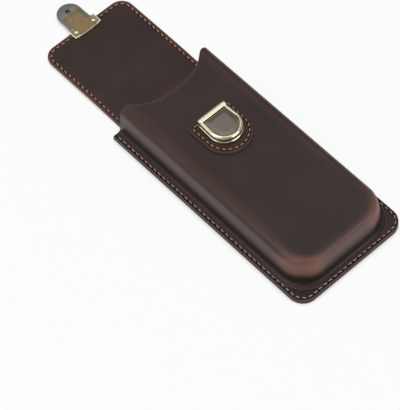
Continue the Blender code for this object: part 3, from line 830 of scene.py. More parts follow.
@dataclass
class MouldedShell:
    """Moulded front of the case: flange, walls, rounded edge and flat face with a scooped mouth."""

    leather: float = 1.8 * MM
    half_length: float = 82.5 * MM
    flange_half: float = 42.0 * MM
    flange_corner: float = 10.0 * MM
    flange_top: float = 4.1 * MM
    foot_half: float = 36.5 * MM
    foot_end: float = -77.0 * MM
    fillet: float = 2.5 * MM
    draft: float = 1.2 * MM
    bow: float = 0.45 * MM
    edge_round: float = 5.4 * MM
    bulge_corner: float = 17.5 * MM
    height: float = 24.8 * MM
    mouth: float = 81.9 * MM
    scoop_depth: float = 11.5 * MM
    scoop_half: float = 29.2 * MM
    scoop_exponent: float = 2.8
    shoulder: float = 0.14
    stitch_inset: float = 1.7 * MM
    back_stitch_height: float = 0.48 * MM
    crease_depth: float = 0.22 * MM
    crease_reach: float = 1.2 * MM
    crease_place: float = 0.40 * MM
    crease_width: float = 0.20 * MM
    lip_place: float = 0.82 * MM
    lip_width: float = 0.16 * MM
    lip_row: int = 17
    side_steps: int = 86
    corner_steps: int = 18
    end_steps: int = 26
    band_wear: float = 0.26
    # wall_wear lays the rubbing colour down the wall as a painted sheen, lighter and redder, the way the
    # floor's light makes it look.
    wall_wear: float = 0.44
    corner_wear: float = 0.64
    mouth_wear: float = 0.30
    rim_wear: float = 0.22
    face_darkening: float = 0.32
    # Painted shade on the foot's fillet and the flange.
    foot_painted_shade: float = 0.90
    # Cut colour on the crease's lip: a painted highlight.
    lip_painted_highlight: float = 0.95
    rim_edge: float = 0.48
    mouth_cut: float = 0.6
    shine: float = 0.36

    def mouth_edge(self, x: Grid) -> Grid:
        """How far the shell reaches across the mouth.

        The scoop's depth times the blend (f + sqrt(f^2 + b^2)) / 2 of f = 1 - |x/h|^2.8.
        """
        fall = 1 - np.abs(x / self.scoop_half) ** self.scoop_exponent
        return self.mouth - self.scoop_depth * (fall + np.sqrt(fall * fall + self.shoulder**2)) / 2

    def profile(self) -> Grid:
        """Rows of half width, end, corner radius and height, from the flange's rim to the middle of the face.

        Returns:
            (n, 4) levels: the flat flange with its groove and lip, a quarter circle at the foot, the
            drafted wall, a quarter circle at the edge, and the face, whose rows close in on the middle.
        """
        off = np.linspace(self.crease_reach, 0, 13)[:-1]
        pressed = bell(off, self.crease_place, self.crease_width)
        raised = 0.5 * bell(off, self.lip_place, self.lip_width)
        groove = self._level(-self.fillet - off, self.flange_top + self.crease_depth * (raised - pressed))
        rim = np.array([self.flange_half, -self.half_length, self.flange_corner, self.flange_top])
        share = spaced([(0.0, 0), (0.18, 4), (1.0, 9)])[:-1, None]
        flange = rim + (groove[0] - rim) * share
        angle = np.linspace(0, math.pi / 2, 8)
        inset = self.fillet * (np.sin(angle) - 1)
        foot = self._level(inset, self.flange_top + self.fillet * (1 - np.cos(angle)))
        rise = np.linspace(0, 1, 7)[1:-1]
        low = self.flange_top + self.fillet
        high = self.height - self.edge_round
        wall = self._level(self.draft * rise - self.bow * np.sin(math.pi * rise), low + (high - low) * rise)
        angle = np.linspace(0, math.pi / 2, 15)
        inset = self.draft + self.edge_round * (1 - np.cos(angle))
        edge = self._level(inset, self.height - self.edge_round * (1 - np.sin(angle)))
        half, end, radius, _ = edge[-1]
        close = spaced([(0.0, 0), (0.30, 12), (1.0, 14)])[1:]
        left = 1 - close
        face = np.stack([half * left, end + half * close, radius * left, self.height + 0 * close], 1)
        return np.concatenate([flange, groove, foot, wall, edge, face])

    def _level(self, inset: Grid, height: Grid) -> Grid:
        """Levels of the bulge at an inset from its foot."""
        half, end, radius = self.foot_half - inset, self.foot_end + inset, self.bulge_corner - inset
        return np.stack([half, end, radius, height], axis=1)

    def ring(self, level: Grid) -> Grid:
        """Points of each level: down the right side, round the closed end, up the left side.

        Args:
            level: (n, 4) levels.

        Returns:
            (n, m, 3) points.
        """
        half, end, radius, height = (level[:, i : i + 1] for i in range(4))
        stop = self.mouth_edge(half)
        down = np.concatenate([np.linspace(0, 0.12, 10), np.linspace(0.12, 1, self.side_steps)[1:]])[None, :]
        angle = np.linspace(0, math.pi / 2, self.corner_steps + 1)[1:][None, :]
        across = np.linspace(0, 1, self.end_steps // 2 + 1)[1:][None, :]
        x = [half + 0 * down, half - radius + radius * np.cos(angle), (half - radius) * (1 - across)]
        y = [stop + (end + radius - stop) * down, end + radius - radius * np.sin(angle), end + 0 * across]
        x, y = np.concatenate(x, axis=1), np.concatenate(y, axis=1)
        x = np.concatenate([x, -x[:, -2::-1]], axis=1)
        y = np.concatenate([y, y[:, -2::-1]], axis=1)
        return surface(x, y, height)

    def inner(self, level: Grid) -> Grid:
        """Levels one leather thickness inside: each moves along the profile's own normal."""
        slope = np.gradient(level[:, [0, 3]], axis=0)
        slope /= np.maximum(np.linalg.norm(slope, axis=1, keepdims=True), 1e-12)
        out, up = slope[:, 1], -slope[:, 0]
        moved = level.copy()
        moved[:, 0] = np.maximum(level[:, 0] - out * self.leather, 0)
        moved[:, 1] = level[:, 1] + out * self.leather
        moved[:, 2] = np.maximum(level[:, 2] - out * self.leather, 0)
        moved[:, 3] = level[:, 3] - up * self.leather
        return moved

    def build(self, material: Material) -> Object:
        """Make the shell.

        Args:
            material: Its leather.

        Returns:
            The piece, which stands for the CAD's front_shell.
        """
        level = self.profile()
        outer = self.ring(level)
        points, faces = slab(outer, self.ring(self.inner(level)), (True, False, True, True))
        obj = make_mesh("shell_leather", points, faces, material, self.marks(level, outer))
        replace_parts(obj, "front_shell")
        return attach(obj, "case")

    def marks(self, level: Grid, outer: Grid) -> dict[str, Grid]:
        """Worn places, a painted sheen on the walls, painted shade on the foot and flange, a darker face
        towards the closed end, polished places, cut edges with a painted highlight on the crease's lip, and the
        stitch line, at the points of both surfaces.

        Args:
            level: (n, 4) levels.
            outer: (n, m, 3) outer points.

        Returns:
            Marks for make_mesh.
        """
        x, y, z = outer[..., 0], outer[..., 1], outer[..., 2]
        ends = (-self.half_length, 400 * MM)
        depth = box_distance(x, y, self.flange_half, ends, (self.flange_corner, 0.001 * MM))
        on_flange = z < self.flange_top + 0.2 * MM
        run = np.concatenate([[0.0], np.cumsum(np.hypot(*np.diff(level[:, [0, 3]], axis=0).T))])
        past = (run - np.interp(self.height - self.edge_round, level[:, 3], run))[:, None] + 0 * x
        end = eased_mm(-y, 52, 74)
        corner = eased_mm(-y, 46, 72) * eased_mm(np.abs(x), 14, 29)
        band = eased_mm(past, 0, 7) * (1 - eased_mm(past, 8, 16))
        # wall: the band down the wall where the painted sheen lies.
        wall = eased_mm(past, -14, -5) * (1 - eased_mm(past - 6 * MM * end, -2, 3))
        fall = eased_mm(past, -15, -1) * (1 - eased_mm(past, 4, 13))
        wear_and_painted_light = self.band_wear * band * (1 - 0.7 * end) + self.wall_wear * wall
        wear_and_painted_light = wear_and_painted_light + (self.corner_wear * fall + 0.08 * wall) * corner
        # The face is darker towards the closed end.
        wear_and_painted_light = wear_and_painted_light - self.face_darkening * eased_mm(-y, 16, 66) * eased_mm(past, 6, 13)
        at_mouth = 1 - eased_mm(self.mouth_edge(x) - y, 0.4, 3.0)
        wear_and_painted_light = np.maximum(wear_and_painted_light, self.mouth_wear * at_mouth * ~on_flange)
        # Painted shade: the foot's fillet and the flange are darkened as if they lay in the bulge's shade.
        foot = np.clip((-2.5 * MM - past) / (11.0 * MM), 0, 1)
        wear_and_painted_light = wear_and_painted_light - self.foot_painted_shade * foot * eased_mm(depth, 0.4, 1.2)
        at_rim = on_flange * (1 - eased_mm(depth, 0.3, 1.4)) * (wear_and_painted_light > -0.1)
        wear_and_painted_light = np.maximum(wear_and_painted_light, self.rim_wear * at_rim)
        # A thin line of the cut colour along the crease's lip: a painted highlight at the foot.
        edge = self.lip_painted_highlight * bell(run, run[self.lip_row], 0.20 * MM)[:, None] + 0 * x
        edge[0] = self.rim_edge
        edge[:, 0] = edge[:, -1] = self.mouth_cut
        polish = self.shine * (1 + end) * bell(past, (3.0 * end - 1.5) * MM, 5.5 * MM)
        seam = np.where(on_flange, (depth - self.stitch_inset) / MM, FAR)
        inside = np.zeros_like(x)
        return {
            "seam": both(seam, inside + FAR),
            "wear_and_painted_light": both(wear_and_painted_light, inside),
            "edge": both(edge, edge),
            "polish": both(polish, inside),
        }

    def stitches(self, thread: Material) -> None:
        """Stitches along the flange, seen from the front and from the back.

        Args:
            thread: The thread's material.
        """
        inset = self.stitch_inset
        level = [self.flange_half - inset, -self.half_length + inset, self.flange_corner - inset, 0.0]
        path = self.ring(np.array([level]))[0]
        path = path[path[:, 1] < self.mouth - 1.5 * MM]
        rows = (("flange_stitches", self.flange_top, 1.0), ("back_stitches", self.back_stitch_height, -1.0))
        for name, height, up in rows:
            line = at_height(path[:, :2], height)
            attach(Stitching(name).build(line, upward(line, up), thread), "case")


@dataclass
class FlatSheet:
    """A flat leather sheet with rounded corners and softly rounded cut edges."""

    half: float
    low: float
    high: float
    bottom: float
    top: float
    low_radius: float = 0.0
    high_radius: float = 0.0
    rounding: float = 0.6 * MM
    stitch_inset: float = 3.1 * MM
    row_step: float = 3.0 * MM
    near_ends: tuple[float, ...] = (0, 0.1, 0.25, 0.45, 0.7, 1, 1.5, 2, 3, 4, 5.5, 7, 9, 11)
    near_sides: tuple[float, ...] = (0, 0.1, 0.25, 0.45, 0.7, 1, 1.5, 2.2, 3, 4, 6)

    def grid(self) -> tuple[Grid, Grid]:
        """Places across and along, close together at the edges."""
        near = np.array(self.near_ends) * MM
        middle = np.arange(self.low + near[-1], self.high - near[-1], self.row_step)[1:]
        y = np.concatenate([self.low + near, middle, (self.high - near)[::-1]])
        narrow = corner_loss(self.low + self.low_radius - y, self.low_radius)
        narrow = narrow + corner_loss(y - self.high + self.high_radius, self.high_radius)
        return across_rows(self.half - narrow, y, self.near_sides, self.half, 19)

    def build(self, name: str, material: Material, stitched: bool = True, worn: float = 0.25) -> Object:
        """Make the sheet.

        Args:
            name: Its name.
            material: Its leather.
            stitched: Whether a stitch line runs along its edge.
            worn: How far its edge is worn.

        Returns:
            The piece.
        """
        x, y = self.grid()
        radii = (max(self.low_radius, 1e-6), max(self.high_radius, 1e-6))
        depth = box_distance(x, y, self.half, (self.low, self.high), radii)
        fall = rounded_fall(depth, self.rounding)
        points, faces = slab(surface(x, y, self.top - fall), surface(x, y, self.bottom + fall))
        seam = (depth - self.stitch_inset) / MM if stitched else np.full_like(x, FAR)
        wear_and_painted_light = worn * (1 - eased_mm(depth, 0.4, 2.4))
        return make_mesh(name, points, faces, material, leather_marks(seam, wear_and_painted_light, cut_edge(depth)))

    def border(self, inset: float, height: float, skip_low: bool = False) -> Grid:
        """The line at an inset from the edge, from the lower left corner round the upper end.

        Args:
            inset: Distance from the edge.
            height: Height of the line.
            skip_low: Leave the lower end out.

        Returns:
            (n, 3) points.
        """
        half, low, high = self.half - inset, self.low + inset, self.high - inset
        upper = max(self.high_radius - inset, 0.2 * MM)
        lower = max(self.low_radius - inset, 0.2 * MM)
        start = low + (0 if skip_low else lower)
        parts = [
            np.array([[-half, start], [-half, high - upper]]),
            arc((-half + upper, high - upper), upper, 180, 90, 14),
            arc((half - upper, high - upper), upper, 90, 0, 14),
            np.array([[half, start]]),
        ]
        if not skip_low:
            parts.append(arc((half - lower, low + lower), lower, 0, -90, 14))
            parts.append(arc((-half + lower, low + lower), lower, -90, -180, 14))
        return at_height(np.concatenate(parts), height)


@dataclass
class BackAndFlap:
    """Back panel and flap: one leather that runs on from the back, over the mouth, to the lock plate.

    It is made in two pieces that meet in the middle of the strip, so that each crosses one fold.
    """

    back: float = 2.0 * MM
    thin: float = 1.8 * MM
    half_length: float = 82.5 * MM
    back_half: float = 42.0 * MM
    flap_half: float = 33.5 * MM
    back_corner: float = 10.0 * MM
    flap_corner: float = 9.0 * MM
    back_fold: float = 82.65 * MM
    front_fold: float = 111.811 * MM
    rise: float = 1.0 * MM
    flap_end: float = 159.24 * MM
    bend: float = 6.0 * MM
    stitch_inset: float = 2.4 * MM
    sewn_inset: float = 1.7 * MM
    channel: float = 0.40 * MM
    inner_channel: float = 0.26 * MM
    rounding: float = 0.6 * MM
    least_step: float = 0.3 * MM
    rim_wear: float = 0.42
    corner_wear: float = 0.25
    flap_wear: float = 0.10
    outside_wear: float = 0.22
    near_ends: tuple[float, ...] = (
        0, 0.1, 0.25, 0.45, 0.8, 1.25, 1.6, 1.95, 2.15, 2.6, 2.85, 3.3, 4, 5.5, 7, 9, 11,
    )
    near_sides: tuple[float, ...] = (0, 0.1, 0.25, 0.45, 0.64, 1, 1.5, 1.72, 2.08, 2.5, 2.85, 3.3, 4.5, 6)
    near_mouth: tuple[float, ...] = (-0.1, 0.05, 0.2, 0.35, 0.5, 0.7)

    @property
    def middle(self) -> float:
        """Where the two pieces meet."""
        return (self.back_fold + self.front_fold) / 2

    def past_mouth(self, y: Grid) -> Grid:
        """Share of the step from the back panel's width to the flap's, beside the mouth."""
        return eased(y, self.half_length - 0.1 * MM, self.half_length + 0.7 * MM)

    def faces_at(self, y: Grid) -> tuple[Grid, Grid]:
        """Heights of the underside, which rises along the strip, and of the top, as the leather thins."""
        ease = eased(y, self.back_fold, self.front_fold)
        low = self.rise * ease
        return low, low + self.back + (self.thin - self.back) * ease

    def half_width(self, y: Grid) -> Grid:
        """Half width along the whole leather: corners at both ends and an eased step beside the mouth."""
        narrow = corner_loss(-self.half_length + self.back_corner - y, self.back_corner)
        narrow = narrow + corner_loss(y - self.flap_end + self.flap_corner, self.flap_corner)
        return self.back_half + (self.flap_half - self.back_half) * self.past_mouth(y) - narrow

    def depth(self, x: Grid, y: Grid) -> Grid:
        """Depth inside the outline, measured across except near the two rounded ends."""
        lower = box_distance(x, y, self.back_half, (-self.half_length, 1.0), (self.back_corner, 1e-6))
        upper = box_distance(x, y, self.flap_half, (-1.0, self.flap_end), (1e-6, self.flap_corner))
        return lower + (upper - lower) * self.past_mouth(y)

    def rows(self, low: float, high: float) -> Grid:
        """Places along a piece, close together at its cut end, at the folds and beside the mouth.

        Args:
            low: Its lower end.
            high: Its upper end.

        Returns:
            The places in order.
        """
        near = np.array(self.near_ends) * MM
        start = low + near if low < self.middle else np.array([low])
        stop = (high - near)[::-1] if high > self.middle else np.array([high])
        folds = [np.arange(f - 9 * MM, f + 9 * MM, 0.75 * MM) for f in (self.back_fold, self.front_fold)]
        inside = np.concatenate([np.arange(start[-1], stop[0], 3.0 * MM)[1:], *folds])
        inside = inside[(inside > start[-1] + self.least_step) & (inside < stop[0] - self.least_step)]
        inside = np.unique(np.round(inside, 6))
        inside = inside[np.concatenate([[True], np.diff(inside) > self.least_step])]
        step = self.half_length + np.array(self.near_mouth) * MM
        if low < step[0] and step[-1] < high:
            inside = inside[np.abs(inside - step.mean()) > 2 * self.least_step]
            inside = np.sort(np.concatenate([inside, step]))
        return np.concatenate([start, inside, stop])

    def half_piece(self, name: str, low: float, high: float, material: Material) -> Object:
        """One of the two pieces, walled at its cut end and open where it meets the other.

        Args:
            name: Its name.
            low: Its lower end.
            high: Its upper end.
            material: Its leather.

        Returns:
            The piece.
        """
        y = self.rows(low, high)
        x, y = across_rows(self.half_width(y), y, self.near_sides, self.flap_half, 21)
        depth = self.depth(x, y)
        past_mouth = self.past_mouth(y)
        under, over = self.faces_at(y)
        fall = rounded_fall(depth, self.rounding)
        off = depth - self.sewn_inset - (self.stitch_inset - self.sewn_inset) * past_mouth
        channel = 1 - eased_mm(np.abs(off), 0.40, 0.90)
        top = surface(x, y, over - fall - self.inner_channel * channel * past_mouth)
        bottom = surface(x, y, under + fall + self.channel * channel)
        points, faces = slab(top, bottom, (low < self.middle, high > self.middle, True, True))
        crease = 0.20 * bell(y, self.back_fold + 1.5 * MM, 3 * MM) + 0.10 * bell(y, self.front_fold, 4 * MM)
        corner = eased(y, self.flap_end - 16 * MM, self.flap_end) * eased_mm(np.abs(x), 18, 33)
        wear_and_painted_light = self.rim_wear * (1 - eased_mm(depth, 0.5, 5.0)) * past_mouth + crease
        wear_and_painted_light = np.clip(wear_and_painted_light + self.corner_wear * corner + self.flap_wear * past_mouth, 0, 1)
        outside = np.clip(wear_and_painted_light + self.outside_wear * past_mouth, 0, 1)
        marks = leather_marks(off / MM, wear_and_painted_light, cut_edge(depth), outside)
        return make_mesh(name, points, faces, material, marks)

    def build(self, outer: Material, thread: Material) -> None:
        """Make both pieces and their stitches.

        Args:
            outer: The leather.
            thread: The thread.
        """
        first = self.half_piece("back_leather", -self.half_length, self.middle, outer)
        second = self.half_piece("flap_leather", self.middle, self.flap_end, outer)
        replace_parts(first, "back_panel", "flap_top")
        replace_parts(second, "flap_front")
        self.bend_first(first)
        self.bend_second(second)
        for name, span, bend in (
            ("strip_stitches", (self.half_length + 3.0 * MM, self.middle), self.bend_first),
            ("flap_stitches", (self.middle, self.flap_end), self.bend_second),
        ):
            for side, up in (("inside", 1.0), ("outside", -1.0)):
                bend(self.stitch_row(f"{name}_{side}", span, up, thread))

    def stitch_lines(self, span: tuple[float, float]) -> list[Grid]:
        """Flat lines of the stitches: round the flap's end, or along the strip's two sides.

        Args:
            span: Lowest and highest y.

        Returns:
            (n, 3) points of each line.
        """
        if span[1] < self.flap_end:
            y = np.linspace(*span, 40)
            half = self.flap_half - self.stitch_inset
            return [np.column_stack([np.full_like(y, s * half), y, 0 * y]) for s in (-1, 1)]
        sheet = FlatSheet(self.flap_half, span[0], self.flap_end, 0, 0, 0, self.flap_corner)
        line = sheet.border(self.stitch_inset, 0.0, skip_low=True)
        line[0, 1] = line[-1, 1] = span[0]
        share = np.linspace(0, 1, 60)[:, None]
        first = line[0] + (line[1] - line[0]) * share[:-1]
        last = line[-2] + (line[-1] - line[-2]) * share[1:]
        return [np.concatenate([first, line[1:-1], last])]

    def stitch_row(self, name: str, span: tuple[float, float], up: float, thread: Material) -> Object:
        """Stitches along the flap's edge within a span of y.

        Args:
            name: Name of the row.
            span: Lowest and highest y.
            up: 1 for the inner face, -1 for the outer one.
            thread: The thread.

        Returns:
            The row, as one piece.
        """
        rows = []
        for line in self.stitch_lines(span):
            under, over = self.faces_at(line[:, 1])
            ease = eased(line[:, 1], self.back_fold, self.front_fold)
            line[:, 2] = over - self.inner_channel if up > 0 else under + (0.48 - 0.20 * ease) * MM
            rows.append(Stitching(name).build(line, upward(line, up), thread))
        if len(rows) > 1:
            with bpy.context.temp_override(active_object=rows[0], selected_editable_objects=rows):
                bpy.ops.object.join()
        return rows[0]

    def bend_first(self, obj: Object) -> Object:
        """Bake the piece's transform into its mesh."""
        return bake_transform(obj)

    def bend_second(self, obj: Object) -> Object:
        """Bake the piece's transform into its mesh."""
        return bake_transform(obj)


# Tray


@dataclass
class PenTray:
    """Sliding tray: a stitched base, a liner and two walls of doubled leather."""

    half: float = 33.7 * MM
    back: float = -73.7 * MM
    front: float = 81.6 * MM
    corner: float = 8.0 * MM
    back_corner: float = 10.85 * MM
    bottom: float = 3.1 * MM
    base: float = 1.5 * MM
    gap: float = 0.3 * MM
    liner: float = 1.2 * MM
    rounding: float = 0.5 * MM
    stitch_inset: float = 4.0 * MM
    under_stitch_rise: float = 0.4 * MM
    wall: float = 3.0 * MM
    wall_top: float = 19.8 * MM
    wall_low: float = 6.4 * MM
    wall_place: float = 11.5 * MM
    wall_back: float = -69.7 * MM
    wall_front: float = 72.1 * MM
    nose: float = 9.11 * MM
    heel: float = 3.08 * MM
    foot_half: float = 5.0 * MM
    foot: float = 1.0 * MM
    foot_rounding: float = 0.3 * MM
    seam_dip: float = 0.14 * MM
    roundness: float = 0.75
    wall_edge: float = 0.62
    wall_wear: float = 0.55
    round_angles: tuple[float, ...] = (0, 4, 9, 18, 30, 45, 60, 75, 90)

    def sheet(self, inset: float, low: float, high: float) -> FlatSheet:
        """One of the two flat leathers, at an inset from the base's outline and between two heights."""
        half, back, front = self.half - inset, self.back + inset, self.front - inset
        radii = (self.back_corner - inset, self.corner - inset)
        return FlatSheet(half, back, front, low, high, *radii, self.rounding, self.stitch_inset - inset)

    def build(self, inner: Material, wall: Material, thread: Material) -> None:
        """Make the tray.

        Args:
            inner: Leather of the sheets.
            wall: Leather of the walls.
            thread: The thread.
        """
        low = self.bottom
        base = self.sheet(0.0, low, low + self.base)
        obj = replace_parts(base.build("tray_base_leather", inner), "tray_base")
        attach(obj, "tray")
        under = low + self.base + self.gap
        top = under + self.liner
        liner = self.sheet(self.gap, under, top)
        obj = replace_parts(liner.build("tray_liner_leather", inner), "tray_liner")
        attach(obj, "tray")
        for name, height, up in (
            ("tray_stitches", top, 1.0),
            ("tray_stitches_under", low + self.under_stitch_rise, -1.0),
        ):
            line = base.border(self.stitch_inset, height)
            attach(Stitching(name).build(line, upward(line, up), thread, closed=True), "tray")
        for side, name in ((-1, "left"), (1, "right")):
            self.build_wall(name, side * self.wall_place, wall)

    def ridge(self) -> tuple[Grid, Grid]:
        """Side view of a wall's free edge and its outward direction, from the back up and down the nose.

        Returns:
            (n, 2) places along and up, and (n, 2) directions.
        """
        low = self.wall_low + self.foot / 2
        rise = np.linspace(low, self.wall_top - self.heel, 6)[:-1]
        flat = np.linspace(self.wall_back + self.heel, self.wall_front - self.nose, 50)[1:-1]
        drop = np.linspace(self.wall_top - self.nose, low, 5)[1:]
        heel = (self.wall_back + self.heel, self.wall_top - self.heel)
        nose = (self.wall_front - self.nose, self.wall_top - self.nose)
        places = [
            np.stack([np.full_like(rise, self.wall_back), rise], 1),
            arc(heel, self.heel, 180, 90, 8),
            np.stack([flat, np.full_like(flat, self.wall_top)], 1),
            arc(nose, self.nose, 90, 0, 20),
            np.stack([np.full_like(drop, self.wall_front), drop], 1),
        ]
        directions = [
            np.tile([-1.0, 0.0], (len(rise), 1)),
            arc((0, 0), 1.0, 180, 90, 8),
            np.tile([0.0, 1.0], (len(flat), 1)),
            arc((0, 0), 1.0, 90, 0, 20),
            np.tile([1.0, 0.0], (len(drop), 1)),
        ]
        return np.concatenate(places), np.concatenate(directions)

    def build_wall(self, name: str, place: float, leather: Material) -> None:
        """One wall with its sewn foot.

        The free edge is a half round of the wall's thickness carried along the ridge, with a
        fine groove where the two layers meet; the sides are flat.

        Args:
            name: Side of the tray.
            place: Place across.
            leather: Its leather.
        """
        ridge, out = self.ridge()
        half = self.wall / 2
        turn = np.array(self.round_angles, float)
        angle = np.radians(np.concatenate([-turn[:0:-1], turn]))
        dip = self.seam_dip * bell(np.sin(angle) * half, 0, 0.16 * MM)
        sunk = half * self.roundness * (1 - np.cos(angle)) + dip
        middle = ridge[:, None, :] - out[:, None, :] * sunk[None, :, None]
        x = place + half * np.sin(angle)[None, :] + 0 * middle[..., 0]
        points = np.concatenate([x[..., None], middle], axis=-1)
        rows, columns = x.shape
        index = np.arange(rows * columns).reshape(rows, columns)
        faces = grid_faces(rows, columns).tolist()
        faces += [index[:, 0].tolist(), index[::-1, -1].tolist()]
        faces.append(index[0].tolist() + index[-1, ::-1].tolist())
        across = np.abs(np.sin(angle))[None, :] + 0 * x
        marks = {
            "edge": self.wall_edge * (1 - eased(across, 0.80, 1.0)),
            "seam": across * half / MM + 0.22,
            "wear_and_painted_light": self.wall_wear * eased(across, 0.7, 0.98),
        }
        obj = make_mesh(f"wall_{name}", points.reshape(-1, 3), faces, leather, marks, 60.0)
        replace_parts(obj, f"divider_{name}")
        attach(obj, "tray")
        ends = (self.wall_back, self.wall_front, self.wall_low, self.wall_low + self.foot)
        foot = FlatSheet(self.foot_half, *ends, half, half, self.foot_rounding)
        obj = foot.build(f"wall_foot_{name}", leather, stitched=False, worn=0.2)
        shift(obj, place)
        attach(obj, "tray")


# Lock


@dataclass
class DShape:
    """A D: a straight edge with small corners above, straight sides and a half circle below."""

    half: float = 16.2 * MM
    low: float = 10.0 * MM
    high: float = 43.0 * MM
    corner: float = 1.5 * MM
    turns: int = 40
    near_edge: tuple[float, ...] = (0, 0.1, 0.25, 0.45, 0.7, 1, 1.5, 2.2, 3, 4.2)

    def curve(self, inset: float, count: int) -> Grid:
        """Closed line at an inset: straight sides, a half circle below, small corners above.

        Args:
            inset: Distance inside the patch's edge.
            count: Number of points on the half circle.

        Returns:
            (n, 2) points, from the right end of the straight edge clockwise.
        """
        half = self.half - inset
        corner = max(self.corner - inset, 0.3 * MM)
        side = arc((half - corner, self.high - inset - corner), corner, 90, 0, 12)
        bend = arc((0, self.low + self.half), half, 0, -180, count)
        return np.concatenate([side, bend, side[::-1] * np.array([[-1.0, 1.0]])])

    def depth(self, x: Grid, y: Grid) -> Grid:
        """Distance of each point from the nearest stretch of the edge."""
        line = self.curve(0.0, 160)
        a, b = line, np.roll(line, -1, axis=0)
        points = np.stack([x.ravel(), y.ravel()], 1)[:, None, :]
        run = b - a
        share = np.sum((points - a) * run, -1) / np.maximum(np.sum(run * run, -1), 1e-14)
        nearest = a + np.clip(share, 0, 1)[..., None] * run
        return np.linalg.norm(points - nearest, axis=-1).min(axis=1).reshape(x.shape)

    def grid(self) -> tuple[Grid, Grid]:
        """Places across and along, row by row from the half circle up, closer together near the edge."""
        t = np.linspace(math.pi / 2, 0, self.turns)
        up = np.linspace(0, math.pi / 2, 10)[1:]
        straight = np.linspace(self.low + self.half, self.high - self.corner, 12)[1:]
        upper = self.high - self.corner * (1 - np.sin(up))
        y = np.concatenate([self.low + self.half * (1 - np.sin(t)), straight, upper])
        narrow = self.half - self.corner * (1 - np.cos(up))
        half = np.concatenate([self.half * np.cos(t), np.full_like(straight, self.half), narrow])
        return across_rows(half, y, self.near_edge, self.half, 13)


@dataclass
class LockPatch(DShape):
    """D-shaped leather patch that the lock is riveted to."""

    bottom: float = 24.8 * MM
    top: float = 26.7 * MM
    rounding: float = 0.6 * MM
    stitch_inset: float = 2.3 * MM
    stitch_pitch: float = 3.8 * MM
    stitch_length: float = 2.7 * MM
    stitch_radius: float = 0.34 * MM
    worn: float = 0.34

    def build(self, leather: Material, thread: Material) -> None:
        """Make the patch and its stitches.

        Args:
            leather: The patch's leather.
            thread: The thread.
        """
        x, y = self.grid()
        depth = self.depth(x, y)
        top = surface(x, y, self.top - rounded_fall(depth, self.rounding))
        points, faces = slab(top, surface(x, y, self.bottom))
        seam = (depth - self.stitch_inset) / MM
        wear_and_painted_light = self.worn * (1 - eased_mm(depth, 0.2, 1.8))
        edge = 1 - eased_mm(depth, 0.05, 0.45)
        obj = make_mesh("patch_leather", points, faces, leather, leather_marks(seam, wear_and_painted_light, edge))
        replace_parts(obj, "lock_patch")
        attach(obj, "case")
        line = at_height(self.curve(self.stitch_inset, 160), self.top)
        row = Stitching("patch_stitches", self.stitch_length, self.stitch_radius, self.stitch_pitch)
        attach(row.build(line, upward(line), thread, closed=True), "case")


